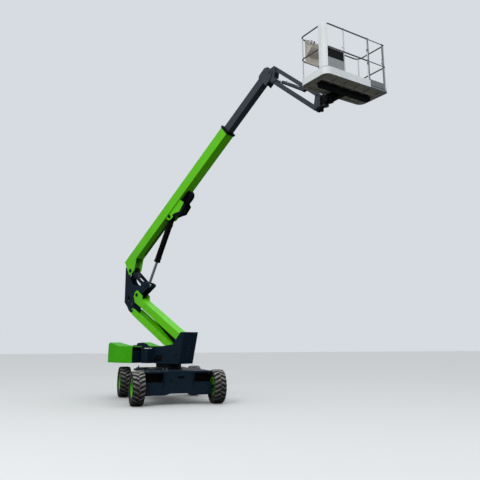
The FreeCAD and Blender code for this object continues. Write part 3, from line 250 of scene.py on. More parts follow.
class Piece:
    """Gathers surfaces in one frame and becomes one object that rides on a body."""

    def __init__(self, name, place, body, slot, material):
        self.name, self.place, self.body, self.slot, self.material = name, place, body, slot, material
        self.points, self.faces, self.smooth, self.poles = [], [], [], []
        self.count = 0

    def add(self, points, *lists, smooth=False):
        """Takes points, and lists of faces that hold the numbers of their points."""
        self.points.append(self.place.put(points))
        for faces in lists:
            self.faces += (np.asarray(faces) + self.count).tolist()
            self.smooth += [smooth] * len(faces)
        self.count += len(points)

    def grid(self, points, wrap_u=False, wrap_v=False, smooth=True, shut=False):
        """A surface through rows and columns of points.

        Each face joins a point to the next in its row and to the two beside them in the next row. A
        wrapped way runs on from its last point to its first. Shut ends are one face each.
        """
        n, m = points.shape[:2]
        rows, columns = np.arange(n if wrap_u else n - 1), np.arange(m if wrap_v else m - 1)
        i, j = np.meshgrid(rows, columns, indexing="ij")
        row, after, beside = i * m, (i + 1) % n * m, (j + 1) % m
        quads = np.stack([row + j, row + beside, after + beside, after + j], axis=2).reshape(-1, 4)
        ends = [np.arange(n * m).reshape(n, m)[[0, -1]]] if shut else []
        self.add(points.reshape(-1, 3), *ends, quads, smooth=smooth)

    def block(self, x, y, z, edge=0.003):
        """A box with its twelve edges chamfered.

        Each of a corner's three points is the middle plus the corner's signs times the half size, less
        the chamfer along the two axes in which the point's side lies.
        """
        low, high = np.array([x, y, z], float).T
        edge = min(edge, 0.45 * float(min(high - low)))
        reach = (high - low) / 2 - edge * (1 - np.eye(3))
        points = (low + high) / 2 + BOX_CORNERS[:, None] * reach
        self.add(points.reshape(-1, 3), BOX_QUADS, BOX_TRIANGLES)

    def lathe(self, at, axis, profile, count=24, smooth=True, spin=0.0):
        """A profile of distance along an axis and radius, turned about that axis.

        A point is the place, plus the distance times the axis, plus the radius times the cosine and
        sine of its angle along two directions square to the axis. A radius of nought is a pole.
        """
        axis = np.array(axis, float) / np.linalg.norm(axis)
        side = np.cross(axis, (0, 0, 1.0) if abs(axis[2]) < 0.9 else (1.0, 0, 0))
        side /= np.linalg.norm(side)
        up = np.cross(axis, side)
        a = np.linspace(0, TURN, count, endpoint=False)[:, None] + spin
        distance, radius = np.array(profile, float).T[:, :, None, None]
        for k in np.flatnonzero(radius == 0):
            self.poles += range(self.count + k * count, self.count + (k + 1) * count)
        rings = np.array(at) + distance * axis + radius * (np.cos(a) * side + np.sin(a) * up)
        self.grid(rings, wrap_v=True, smooth=smooth)

    def bolt(self, at, axis, size):
        """Hexagon head on its washer; size is the head's radius."""
        washer = [(0, size * 1.35), (size * 0.18, size * 1.35), (size * 0.22, size * 1.25), (size * 0.22, 0)]
        head = [(size * 0.2, size), (size * 0.75, size), (size * 0.86, size * 0.86), (size * 0.86, 0)]
        self.lathe(at, axis, washer, 20, False)
        self.lathe(at, axis, head, 6, False, 0.4)

    def cap(self, at, axis, radius, proud):
        """A pin's end: a turned cap with a chamfer and a dished middle."""
        rim = [(0, radius), (proud * 0.75, radius), (proud, radius * 0.9), (proud, radius * 0.45)]
        dish = [(proud * 0.7, radius * 0.38), (proud * 0.7, 0)]
        self.lathe(at, axis, rim + dish, 32, False)

    def keeper(self, at, side, radius, angle):
        """A pin's keeper bolt, a quarter of the radius outside the pin's edge at an angle."""
        s, z = plus((at[0], at[2]), rotated(radius * 1.25, 0, angle))
        self.bolt((s, at[1], z), (0, side, 0), radius * 0.3)

    def tube(self, path, radius, count=12, step=5):
        """A round tube along a smooth curve through its path's points."""
        self.grid(skin(smooth_path(path, step), radius, count), wrap_v=True)

    def prism(self, outline, y, chamfer=0.0):
        """An outline in x and z, extruded along y, its rims drawn towards its middle by a chamfer."""
        outline = np.array(outline, float)
        off = outline - outline.mean(axis=0)
        inner = outline.mean(axis=0) + off * (1 - chamfer / max(np.abs(off).max(), 1e-6))
        rings = np.empty((4, len(outline), 3))
        rings[:, :, 0::2] = [inner, outline, outline, inner]
        rings[:, :, 1] = np.array([[y[0]], [y[0] + chamfer], [y[1] - chamfer], [y[1]]])
        self.grid(rings, wrap_v=True, smooth=False, shut=True)

    def sheet(self, path, levels, thick):
        """A sheet that stands on a path in x and y between two levels.

        Its far face is the path moved to its right by the thickness, square to the path's direction.
        """
        path = np.array(path, float)
        along = np.gradient(path, axis=0)
        along /= np.linalg.norm(along, axis=1)[:, None]
        outer = path + thick * np.stack([along[:, 1], -along[:, 0]], axis=1)
        rings = np.empty((len(path), 4, 3))
        rings[:, :, :2] = np.stack([path, outer, outer, path], axis=1)
        rings[:, :, 2] = np.repeat(levels, 2)
        self.grid(rings, wrap_v=True, smooth=False, shut=True)

    def done(self):
        """Makes the object: poles drawn together, faces outward, material and body set."""
        mesh = bpy.data.meshes.new(self.name)
        mesh.from_pydata(np.concatenate(self.points).tolist(), [], self.faces)
        mesh.polygons.foreach_set("use_smooth", self.smooth)
        mesh.validate()
        mesh.materials.append(MATERIALS[self.material])
        thing = bpy.data.objects.new(self.name, mesh)
        bpy.context.scene.collection.objects.link(thing)
        work = bmesh.new()
        work.from_mesh(mesh)
        work.verts.ensure_lookup_table()
        bmesh.ops.remove_doubles(work, verts=[work.verts[i] for i in self.poles], dist=1e-6)
        bmesh.ops.recalc_face_normals(work, faces=work.faces)
        work.to_mesh(mesh)
        work.free()
        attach(thing, self.body)
        return thing


def smooth_path(path, step):
    """Catmull-Rom curve, with as many points in a span as step says.

    Each span is the cubic that passes through both its ends, with half of the chord between an end's
    two neighbours as its slope there. The path runs straight on past its ends.
    """
    p = np.array(path, float)
    p = np.vstack([2 * p[0] - p[1], p, 2 * p[-1] - p[-2]])
    a, b, c, d = p[:-3, None], p[1:-2, None], p[2:-1, None], p[3:, None]
    t = np.linspace(0, 1, step, endpoint=False)[:, None]
    spans = 0.5 * (2 * b + (c - a) * t + (2 * a - 5 * b + 4 * c - d) * t ** 2
                   + (3 * b - a - 3 * c + d) * t ** 3)
    return np.vstack([spans.reshape(-1, 3), p[-2]])


def skin(curve, radius, count):
    """Rings round a curve: each of its points plus the radius times the cosine and sine of an angle
    along two directions square to the curve, the first of them carried along it without twist.
    """
    tangent = np.gradient(curve, axis=0)
    tangent /= np.linalg.norm(tangent, axis=1)[:, None]
    side = np.cross(tangent[0], (0.3, 0.9, 0.2))
    sides = []
    for along in tangent:
        side = side - along * np.dot(side, along)
        side /= np.linalg.norm(side)
        sides.append(side)
    sides = np.array(sides)[:, None]
    ups = np.cross(tangent[:, None], sides)
    a = np.linspace(0, TURN, count, endpoint=False)[:, None]
    return curve[:, None] + radius * (np.cos(a) * sides + np.sin(a) * ups)


MATERIALS = {}


def group_socket(group, name, kind, way, default=None):
    """A named input or output of a node group."""
    socket = group.interface.new_socket(name=name, in_out=way, socket_type=kind)
    if default is not None:
        socket.default_value = default


def node(tree, kind, **settings):
    """A node with its settings."""
    made = tree.nodes.new(kind)
    for key, value in settings.items():
        setattr(made, key, value)
    return made


def wire(tree, *pairs):
    """Links from one socket to another."""
    for a, b in pairs:
        tree.links.new(a, b)


def plain(tree, colour):
    """A socket that gives one colour."""
    made = node(tree, "ShaderNodeRGB")
    made.outputs[0].default_value = (*colour, 1)
    return made.outputs[0]


def maths(tree, operation, *values, clamp=False):
    """One step of arithmetic on sockets and numbers."""
    made = node(tree, "ShaderNodeMath", operation=operation, use_clamp=clamp)
    for socket, value in zip(made.inputs, values):
        if isinstance(value, float):
            socket.default_value = value
        else:
            tree.links.new(value, socket)
    return made.outputs[0]


def mixed(tree, factor, a, b):
    """Colour mix of two sockets by a mask."""
    made = node(tree, "ShaderNodeMix", data_type="RGBA")
    wire(tree, (factor, made.inputs["Factor"]), (a, made.inputs[6]), (b, made.inputs[7]))
    return made.outputs[2]


def noise(tree, vector, scale, detail=3.0):
    """Cloudy noise over a position."""
    made = node(tree, "ShaderNodeTexNoise")
    made.inputs["Scale"].default_value = scale
    made.inputs["Detail"].default_value = detail
    wire(tree, (vector, made.inputs["Vector"]))
    return made.outputs["Fac"]


def ranged(tree, value, low, high, out_low=0.0, out_high=1.0):
    """A smooth step of a value between two levels."""
    made = node(tree, "ShaderNodeMapRange", interpolation_type="SMOOTHSTEP")
    wire(tree, (value, made.inputs["Value"]))
    for name, number in (("From Min", low), ("From Max", high), ("To Min", out_low), ("To Max", out_high)):
        made.inputs[name].default_value = number
    return made.outputs[0]


def height_in(tree, vector):
    """The third part of a vector: a height in a position, or how far a direction faces up."""
    made = node(tree, "ShaderNodeSeparateXYZ")
    wire(tree, (vector, made.inputs[0]))
    return made.outputs["Z"]


def aged_group():
    """Colour, roughness and rounded-edge normal of a painted or moulded surface out of doors.

    The colour is shaded by two clouds, then covered with dust where the surface lies flat or is near the
    ground, then chipped along its edges. Dust and a cloud of smears make it rougher.
    """
    group = bpy.data.node_groups.new("aged_surface", "ShaderNodeTree")
    group_socket(group, "Color", "NodeSocketColor", "INPUT")
    group_socket(group, "Dust Color", "NodeSocketColor", "INPUT", (0.36, 0.33, 0.28, 1))
    group_socket(group, "Worn Color", "NodeSocketColor", "INPUT", (0.3, 0.3, 0.3, 1))
    for name, value in (("Dust", 0.3), ("Wear", 0.3), ("Gloss", 0.35), ("Peel", 0.02)):
        group_socket(group, name, "NodeSocketFloat", "INPUT", value)
    group_socket(group, "Color", "NodeSocketColor", "OUTPUT")
    group_socket(group, "Roughness", "NodeSocketFloat", "OUTPUT")
    group_socket(group, "Normal", "NodeSocketVector", "OUTPUT")
    source = node(group, "NodeGroupInput").outputs
    sink = node(group, "NodeGroupOutput").inputs
    where = node(group, "ShaderNodeTexCoord").outputs
    spot = where["Object"]
    shift = maths(group, "MULTIPLY_ADD", noise(group, spot, 1.7), 0.3, 0.85)
    cloud = maths(group, "MULTIPLY_ADD", noise(group, spot, 9.0, 5.0), 0.16, 0.92)
    tint = node(group, "ShaderNodeVectorMath", operation="SCALE")
    wire(group, (source["Color"], tint.inputs[0]),
         (maths(group, "MULTIPLY", shift, cloud), tint.inputs["Scale"]))
    lying = ranged(group, height_in(group, where["Normal"]), 0.35, 0.95)
    patch = ranged(group, noise(group, spot, 5.0, 6.0), 0.38, 0.68)
    low = ranged(group, height_in(group, spot), 1.1, 0.1)
    splash = maths(group, "MULTIPLY", low, ranged(group, noise(group, spot, 14.0, 6.0), 0.35, 0.75))
    settled = maths(group, "MAXIMUM", maths(group, "MULTIPLY", lying, patch), splash)
    dust = maths(group, "MULTIPLY", settled, source["Dust"], clamp=True)
    dusty = mixed(group, dust, tint.outputs[0], source["Dust Color"])
    round_edge = node(group, "ShaderNodeBevel", samples=4)
    round_edge.inputs["Radius"].default_value = 0.005
    true = node(group, "ShaderNodeNewGeometry")
    likeness = node(group, "ShaderNodeVectorMath", operation="DOT_PRODUCT")
    wire(group, (round_edge.outputs[0], likeness.inputs[0]),
         (true.outputs["True Normal"], likeness.inputs[1]))
    edge = ranged(group, likeness.outputs["Value"], 0.99, 0.82)
    chipped = maths(group, "MULTIPLY", edge, ranged(group, noise(group, spot, 26.0, 5.0), 0.42, 0.6))
    worn = maths(group, "MULTIPLY", chipped, source["Wear"], clamp=True)
    smear = maths(group, "MULTIPLY_ADD", noise(group, spot, 3.2, 4.0), 0.16, source["Gloss"])
    rough = maths(group, "ADD", smear, maths(group, "MULTIPLY", dust, 0.45), clamp=True)
    bump = node(group, "ShaderNodeBump")
    bump.inputs["Distance"].default_value = 0.002
    wire(group, (source["Peel"], bump.inputs["Strength"]),
         (noise(group, spot, 160.0, 2.0), bump.inputs["Height"]),
         (round_edge.outputs[0], bump.inputs["Normal"]),
         (mixed(group, worn, dusty, source["Worn Color"]), sink["Color"]),
         (rough, sink["Roughness"]), (bump.outputs[0], sink["Normal"]))
    return group


def surface(name, group, colour, metallic=0.0, coat=0.0, specular=0.5, **values):
    """A material of the aged surface group, with the group's values by their names.

    Gives its node tree, its group node and its shader's inputs, for a material that adds to them.
    """
    made = bpy.data.materials.new(name)
    made.use_nodes = True
    tree = made.node_tree
    shader = tree.nodes["Principled BSDF"].inputs
    shader["Metallic"].default_value = metallic
    shader["Coat Weight"].default_value = coat
    shader["Specular IOR Level"].default_value = specular
    shader["Coat Roughness"].default_value = 0.15
    aged = node(tree, "ShaderNodeGroup", node_tree=group)
    aged.inputs["Color"].default_value = (*colour, 1)
    for key, value in values.items():
        socket = aged.inputs[key.replace("_", " ")]
        socket.default_value = (*value, 1) if isinstance(value, tuple) else value
    wire(tree, (aged.outputs["Color"], shader["Base Color"]),
         (aged.outputs["Roughness"], shader["Roughness"]), (aged.outputs["Normal"], shader["Normal"]))
    made.diffuse_color = (*colour, 1)
    MATERIALS[name] = made
    return tree, aged, shader


def tread_surface(group, rubber, lug_wear_and_highlight):
    """Rubber whose lug tops are pale: worn in patches, and paler where they face up at rest, which is a
    painted highlight of the sky on the up-facing lugs; its grooves stay dark.
    """
    tree, aged, shader = surface("tyre", group, rubber, specular=0.25, Gloss=0.75, Dust=0.12, Wear=0.0,
                                 Peel=0.25)
    mask = node(tree, "ShaderNodeAttribute", attribute_name="lug")
    where = node(tree, "ShaderNodeTexCoord").outputs
    patch = ranged(tree, noise(tree, where["Object"], 18.0, 5.0), 0.25, 0.7, 0.35, 1.0)
    # Painted highlight: the lugs grow paler as their faces point up at rest, standing in for sky light on the
    # lug tops
    up_facing_highlight = ranged(tree, height_in(tree, where["Normal"]), -0.15, 0.75, 0.06, 1.0)
    # The pale mix is the lug mask times the wear patches times the painted up-facing highlight
    worn = maths(tree, "MULTIPLY", maths(tree, "MULTIPLY", mask.outputs["Fac"], patch), up_facing_highlight, clamp=True)
    wire(tree, (mixed(tree, worn, aged.outputs["Color"], plain(tree, lug_wear_and_highlight)), shader["Base Color"]))


def rail_surface(group, posts, rails):
    """Grey rails between pale posts: the grey lies where a height is within a tube's radius of a rail."""
    tree, aged = surface("rail", group, posts, Gloss=0.42, Dust=0.05, Wear=0.5, Peel=0.05,
                         Worn_Color=(0.06, 0.06, 0.06))[:2]
    level = height_in(tree, node(tree, "ShaderNodeTexCoord").outputs["Object"])
    near = []
    for height in (MID_RAIL, TOP_RAIL):
        away = maths(tree, "ABSOLUTE", maths(tree, "SUBTRACT", level, FLOOR_Z + height))
        near.append(ranged(tree, away, 0.022, 0.017))
    blend = mixed(tree, maths(tree, "MAXIMUM", *near), plain(tree, posts), plain(tree, rails))
    wire(tree, (blend, aged.inputs["Color"]))


def make_materials(colours):
    """Every finish of the machine, as a material of the one aged group."""
    group = aged_group()
    rail_surface(group, colours.posts, colours.rails)
    surface("lime", group, colours.lime, specular=0.20, Gloss=0.30, Dust=0.03, Wear=0.25, Peel=0.03,
            Worn_Color=(0.33, 0.68, 0.12))
    surface("hood", group, colours.hood, specular=0.15, Gloss=0.42, Dust=0.03, Wear=0.15, Peel=0.03,
            Worn_Color=(0.20, 0.58, 0.08))
    surface("navy", group, colours.navy, specular=0.10, Gloss=0.42, Dust=0.02, Wear=0.3, Peel=0.05,
            Worn_Color=(0.03, 0.05, 0.075))
    surface("slate", group, colours.slate, specular=0.22, Gloss=0.40, Dust=0.02, Wear=0.3, Peel=0.04,
            Worn_Color=(0.10, 0.12, 0.14))
    surface("black", group, colours.black, specular=0.08, Gloss=0.45, Dust=0.01, Wear=0.15, Peel=0.04,
            Worn_Color=(0.03, 0.03, 0.03))
    surface("pale", group, colours.pale, Gloss=0.45, Dust=0.08, Wear=0.45, Peel=0.06,
            Worn_Color=(0.22, 0.22, 0.22))
    surface("floor_alloy", group, colours.floor_alloy, metallic=0.2, Gloss=0.5, Dust=0.2, Wear=0.3,
            Peel=0.08, Worn_Color=(0.4, 0.4, 0.38))
    # The gate's dark grey is partly its rails' own grey and partly painted shade of its corner post
    surface("gate", group, colours.gate, Gloss=0.45, Dust=0.05, Wear=0.4, Peel=0.05,
            Worn_Color=(0.30, 0.30, 0.30))
    surface("beige", group, colours.console, Gloss=0.55, Dust=0.05, Wear=0.2)
    surface("grey_panel", group, (0.24, 0.26, 0.265), Gloss=0.5, Dust=0.1, Wear=0.3)
    surface("kick_panel", group, (0.13, 0.15, 0.155), Gloss=0.5, Dust=0.1, Wear=0.3)
    surface("cast", group, (0.005, 0.014, 0.025), specular=0.12, Gloss=0.5, Dust=0.12, Wear=0.35, Peel=0.3,
            Worn_Color=(0.05, 0.07, 0.09))
    surface("chrome", group, (0.60, 0.60, 0.61), metallic=1.0, Gloss=0.08, Dust=0.04, Wear=0.0, Peel=0.0)
    surface("steel", group, (0.33, 0.33, 0.34), metallic=1.0, Gloss=0.32, Dust=0.08, Wear=0.0, Peel=0.03)
    surface("rubber", group, (0.012, 0.012, 0.013), Gloss=0.6, Dust=0.15, Wear=0.0, Peel=0.12)
    surface("hose", group, (0.060, 0.052, 0.043), specular=0.3, Gloss=0.6, Dust=0.1, Wear=0.0, Peel=0.1)
    surface("plastic", group, (0.014, 0.014, 0.015), Gloss=0.5, Dust=0.12, Wear=0.1, Peel=0.1)
    surface("red", group, (0.55, 0.012, 0.008), coat=0.4, Gloss=0.3, Dust=0.0, Wear=0.0)
    surface("amber", group, (0.8, 0.28, 0.01), coat=0.6, Gloss=0.2, Dust=0.0, Wear=0.0)
    tread_surface(group, colours.tyre, colours.lug_wear_and_highlight)


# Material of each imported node, by the start of its name; the first that fits holds
NODE_LOOKS = [
    ("tyre_", "tyre"), ("rim_", "lime"), ("hood_bays", "navy"), ("hood_", "hood"), ("tower_upper", "lime"),
    ("tower_lower", "lime"), ("main_boom", "lime"), ("riser", "navy"), ("chassis", "navy"), ("steer", "navy"),
    # The slew ring gets black as painted shade: it stands for the shadow gap between the turntable and the
    # deck
    ("slew", "black"), ("turntable", "navy"), ("counterweight", "cast"), ("ground_controls", "navy"),
    ("power_blocks", "plastic"), ("boom_collar", "black"), ("hose_carrier", "black"), ("fly_", "slate"),
    ("jib_cylinder_rod", "chrome"), ("tower_cylinder_rod", "chrome"), ("lift_cylinder_rod", "chrome"),
    ("jib_cylinder_barrel", "slate"), ("tower_cylinder_barrel", "black"), ("lift_cylinder_barrel", "black"),
    ("jib_", "slate"), ("platform_rotator", "black"), ("platform_floor", "floor_alloy"),
    ("platform_toe", "pale"), ("platform_rails", "rail"), ("platform_panels", "pale"),
    ("platform_console", "beige"), ("platform_gate", "gate"),
]


def dress_nodes():
    """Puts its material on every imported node."""
    for name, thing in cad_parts.items():
        look = next(look for start, look in NODE_LOOKS if name.startswith(start))
        thing.data.materials.clear()
        thing.data.materials.append(MATERIALS[look])


def tyre_rows(lugs, lug_height):
    """Points of a lugged tyre and how high each stands as a lug.

    The radius at angle a and width w is the carcass's radius plus the lug's height where the slanted
    phase (a times the lug count, shifted by how far w is from the middle) lies within the lug's share.
    """
    half = WHEEL_W / 2
    widths = np.array([0.108, 0.118, 0.134, 0.146, 0.1515, half, half, 0.152, 0.148])
    radii = np.array([0.216, 0.232, 0.252, 0.282, 0.305, 0.325, 0.345, 0.362, 0.374])
    crown_half, crown_r, crown_fall = 0.142, 0.385, 0.012
    tread = np.linspace(crown_half, 0.0, 20)[:-1]
    right_w = np.concatenate([widths, tread])
    right_r = np.concatenate([radii, crown_r - crown_fall * (tread / crown_half) ** 4])
    w = np.concatenate([-right_w, [0.0], right_w[::-1]])
    r = np.concatenate([right_r, [crown_r], right_r[::-1]])
    a, width = np.meshgrid(np.linspace(0, TURN, lugs * 22, endpoint=False), w, indexing="ij")
    base = np.broadcast_to(r, a.shape)
    off = np.abs(width) / half
    phase = a * lugs / TURN + 0.60 * off + np.where(width > 0, 0.5, 0.0)
    saw = np.abs((phase % 1.0) - 0.5) * 2
    share = 0.52 + 0.06 * off
    edge = np.clip((share - saw) / 0.10, 0, 1)
    inward = np.clip((off + 0.10) / 0.08, 0, 1)
    fade = np.clip((base - 0.300) / 0.05, 0, 1)
    lug = edge * edge * (3 - 2 * edge) * inward * fade
    rise = lug * np.where(off > 0.93, 0.022, lug_height)
    radius = np.minimum(base + rise, WHEEL_R - 0.010 * off ** 6)
    points = np.stack([radius * np.cos(a), width, radius * np.sin(a)], axis=2)
    return points, lug * np.clip((base - 0.33) / 0.04, 0, 1)


def make_tyres(lugs, lug_height):
    """Four tyres from one set of rows, mirrored on the right so that the lugs point the same way."""
    points, lug = tyre_rows(lugs, lug_height)
    for x, y, name in WHEELS:
        own = points * (math.copysign(1, y), 1, 1)
        place = Place((x, y, WHEEL_R), turn=0)
        piece = Piece("road_tyre_" + name, place, "wheel_" + name, "tyre_rubber", "tyre")
        piece.grid(own, wrap_u=True)
        thing = piece.done()
        mask = thing.data.attributes.new("lug", "FLOAT", "POINT")
        mask.data.foreach_set("value", lug.reshape(-1))
        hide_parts("tyre_" + name)


def make_hubs(nuts, nut_size):
    """Turned hubs with their drum, a circle of nuts, a circle of cover bolts and a valve each."""
    drum = [(-0.012, 0.155), (0.004, 0.155), (0.010, 0.148), (0.010, 0.112), (0.070, 0.110),
            (0.080, 0.102), (0.084, 0.070), (0.096, 0.066), (0.100, 0.052), (0.100, 0)]
    stem = [(0, 0.006), (0.03, 0.005), (0.031, 0.004), (0.044, 0.004), (0.046, 0)]
    for x, y, name in WHEELS:
        side = 1 if y > 0 else -1
        place = Place((x, y, WHEEL_R), turn=0)
        body = "wheel_" + name
        hub = Piece("hub_" + name, place, body, "lime_paint", "black")
        hub.lathe((0, 0, 0), (0, side, 0), drum, 40)
        hub.done()
        studs = Piece("wheel_nuts_" + name, place, body, "lime_paint", "steel")
        for u, w in ring(0.134, nuts):
            studs.bolt((u, side * 0.010, w), (0, side, 0), nut_size)
        for u, w in ring(0.085, 6, 0.3):
            studs.bolt((u, side * 0.081, w), (0, side, 0), 0.008)
        studs.done()
        valve = Piece("valve_" + name, place, body, "tyre_rubber", "rubber")
        valve.lathe((0.186, side * 0.018, 0.03), (-0.25, side, 0), stem, 12)
        valve.done()


def make_chassis_bolts(ring_bolts):
    """Bolts of the chassis's end lugs and axle ends, and the circle of bolts round the slew ring."""
    bolts = Piece("chassis_bolts", ROW, "chassis", "dark_paint", "navy")
    for y in (-0.380, 0.380):
        for z in (0.745, 0.700):
            for side in SIDES:
                bolts.bolt((1.345, y + side * 0.006, z), (0, side, 0), 0.010)
    for y in (-AXLE_HALF, AXLE_HALF):
        for z in (0.285, 0.485):
            for dy in (-0.14, 0.14):
                bolts.bolt((1.30, y + dy, z), (1, 0, 0), 0.011)
    bolts.done()
    circle = Piece("slew_ring_bolts", ROW, "chassis", "dark_paint", "black")
    for x, y in ring(0.370, ring_bolts):
        circle.bolt((x, y, 0.812), (0, 0, 1), 0.012)
    circle.done()


def make_deck():
    """Cover plates with their screws, fittings, hoses and tie-down eyes on the chassis's deck."""
    plates = Piece("deck_covers", ROW, "chassis", "dark_paint", "navy")
    plates.block((0.62, 1.22), (-0.30, 0.30), (DECK_TOP, 0.806), 0.002)
    plates.block((-1.05, -0.55), (-0.26, 0.26), (DECK_TOP, 0.806), 0.002)
    for side in SIDES:
        plates.block((0.50, 1.26), across(side, 0.46, 0.80), (DECK_TOP, 0.805), 0.002)
    plates.done()
    screws = Piece("deck_cover_bolts", ROW, "chassis", "dark_paint", "steel")
    for x, off in ((0.65, 0.27), (1.19, 0.27), (0.92, 0.27), (0.53, 0.49), (1.23, 0.49), (0.53, 0.77),
                   (1.23, 0.77), (-1.02, 0.23), (-0.58, 0.23)):
        for side in SIDES:
            screws.bolt((x, side * off, 0.8055), (0, 0, 1), 0.009)
    screws.done()
    fittings = Piece("deck_fittings", ROW, "chassis", "dark_paint", "plastic")
    for y in (-0.26, -0.16):
        fittings.lathe((0.56, y, DECK_TOP), (0, 0, 1), [(0, 0.022), (0.025, 0.022), (0.032, 0.014),
                                                        (0.055, 0.012), (0.058, 0)], 16)
    for x, y in ((0.10, -0.62), (0.22, -0.66), (-0.40, -0.60)):
        fittings.block(about(x, 0.05), about(y, 0.02), (DECK_TOP, 0.822), 0.004)
    for k in range(3):
        d = 0.03 * k
        fittings.tube([(0.44, -0.12 - 0.05 * k, 0.811), (0.54, -0.30 - d, 0.850), (0.47, -0.52 - d, 0.836),
                       (0.22, -0.60 - d, 0.860), (-0.10, -0.62 - d, 0.811)], 0.012, 8, 6)
    fittings.done()
    eyes = Piece("tie_down_lugs", ROW, "chassis", "dark_paint", "navy")
    for y in (-AXLE_HALF, AXLE_HALF):
        eyes.tube(upright(y, arc((-1.25, DECK_TOP), 0.045, -0.2, math.pi + 0.2, 9)), 0.010, 10, 4)
    eyes.done()


def make_axles():
    """Dark backs of the axle recesses, drive motors with their lines, and the steering cylinder."""
    dark = Piece("axle_recess_backs", ROW, "chassis", "dark_paint", "black")
    for side in SIDES:
        dark.block((1.03, 1.05), across(side, 0.381, 0.853), (0.26, 0.759), 0.002)
    dark.block((1.2785, 1.2800), (-0.030, 0.150), (0.612, 0.688), 0.0005)
    dark.block((1.2785, 1.2800), (-0.215, -0.165), (0.555, 0.605), 0.0005)
    dark.done()
    motors = Piece("drive_motors", ROW, "chassis", "dark_paint", "black")
    case = [(0, 0), (0, 0.085), (0.05, 0.095), (0.14, 0.095), (0.15, 0.075), (0.20, 0.075), (0.20, 0)]
    for side in SIDES:
        motors.lathe((1.200, side * AXLE_HALF, WHEEL_R), (0, side, 0), case, 28, False)
    motors.done()
    lines = Piece("drive_lines", ROW, "chassis", "dark_paint", "black")
    for side in SIDES:
        for k in range(3):
            x = 1.06 - 0.035 * k
            lines.tube([(x, side * 0.30, 0.60), (x, side * 0.42, 0.62),
                        (x + 0.02, side * 0.60, 0.60 + 0.02 * k), (x + 0.05, side * 0.74, 0.57),
                        (1.10, side * 0.80, 0.53)], 0.011, 10, 6)
    lines.done()
    steer = Piece("steering_cylinder", ROW, "chassis", "dark_paint", "black")
    steer.lathe((-1.075, -0.33, WHEEL_R), (0, 1, 0), [(0, 0), (0, 0.038), (0.02, 0.042), (0.60, 0.042),
                                                      (0.62, 0.038), (0.66, 0.038), (0.66, 0)], 24, False)
    for side in SIDES:
        steer.block((-1.115, -1.070), across(side, 0.16, 0.20), (0.38, 0.45), 0.004)
    steer.done()


def make_table_trim(fins):
    """Bolts of the turntable's front and sides, the fins of its louvre and the caps of the tower's pins.

    A fin is a sheet over the front, lifted by the bump 1 - (u / half)^4 along it and by a share across it,
    and leant by 35 degrees.
    """
    bolts = Piece("turntable_bolts", TABLE, "turntable", "dark_paint", "navy")
    normal = (FRONT_RISE, 0, -FRONT_RUN)
    for z, half, size in ((1.640, 0.075, 0.011), (1.735, 0.075, 0.011), (1.520, 0.085, 0.010),
                          (0.995, 0.20, 0.010)):
        for y in (-half, half):
            bolts.bolt((front(z), y, z), normal, size)
    bolts.prism([(front(z) + out, z) for z, out in ((1.670, -0.0185), (1.710, -0.0185), (1.710, -0.0145),
                                                    (1.670, -0.0145))], (-0.096, 0.096))
    bolts.done()
    louvre = Piece("louvre_fins", TABLE, "turntable", "dark_paint", "navy")
    half, lean = 0.066, math.radians(35)
    u = np.linspace(-half, half, 12)[:, None]
    v, share = np.array([(-0.008, 0.0), (-0.004, 0.6), (0.004, 1.0), (0.012, 0.0)]).T
    lift = 0.016 * np.maximum(0.0, 1 - (u / half) ** 4) * share
    for level in np.linspace(1.140, 1.480, fins):
        z = level + u * math.sin(lean) + v * math.cos(lean)
        louvre.grid(np.stack([front(z) + 0.0005 + lift, u * math.cos(lean) - v * math.sin(lean), z], axis=2))
    louvre.done()
    pins = Piece("tower_pin_caps", TABLE, "turntable", "dark_paint", "navy")
    for side in SIDES:
        for s, z in (TOWER_TOP, TOWER_LOW):
            pins.cap((s, side * (TABLE_HALF + 0.008), z), (0, side, 0), 0.042, 0.010)
            for ds in (-0.075, 0.075):
                pins.bolt((s + ds, side * TABLE_HALF, z), (0, side, 0), 0.010)
        for s, z in ((0.50, 1.02), (-0.55, 1.22), (-0.1, 1.30), (0.16, 1.25)):
            pins.bolt((s, side * TABLE_HALF, z), (0, side, 0), 0.009)
    pins.done()


def make_valves():
    """The turntable's valve block and the hoses that leave its five valves."""
    valves = Piece("valve_block", TABLE, "turntable", "dark_paint", "black")
    valves.block((-0.33, -0.05), (-0.236, -0.12), (1.01, 1.12), 0.004)
    lines = Piece("valve_lines", TABLE, "turntable", "dark_paint", "rubber")
    for s in -0.30 + 0.055 * np.arange(5):
        valves.lathe((s, -0.175, 1.12), (0, 0, 1),
                     [(0, 0.017), (0.04, 0.017), (0.045, 0.012), (0.045, 0)], 16)
        lines.tube([(s, -0.175, 1.16), (s + 0.01, -0.18, 1.20), (s + 0.06, -0.19, 1.22),
                    (s + 0.14, -0.20, 1.17), (s + 0.20, -0.21, 1.05), (s + 0.22, -0.20, 0.985)], 0.009, 8, 6)
    valves.done()
    lines.done()


def make_ground_controls():
    """The door and the lid of the control box on the turntable's right side."""
    panel = Piece("ground_panel", TABLE, "turntable", "alloy", "navy")
    panel.block((-0.645, -0.395), (-0.434, -0.4302), (1.02, 1.295), 0.002)
    for s in (-0.628, -0.412):
        for z in (1.04, 1.275):
            panel.bolt((s, -0.434, z), (0, -1, 0), 0.006)
    panel.done()
    top = Piece("ground_box_lid", TABLE, "turntable", "alloy", "pale")
    top.block((-0.520, -0.368), (-0.440, -0.300), (1.3302, 1.352), 0.005)
    top.done()


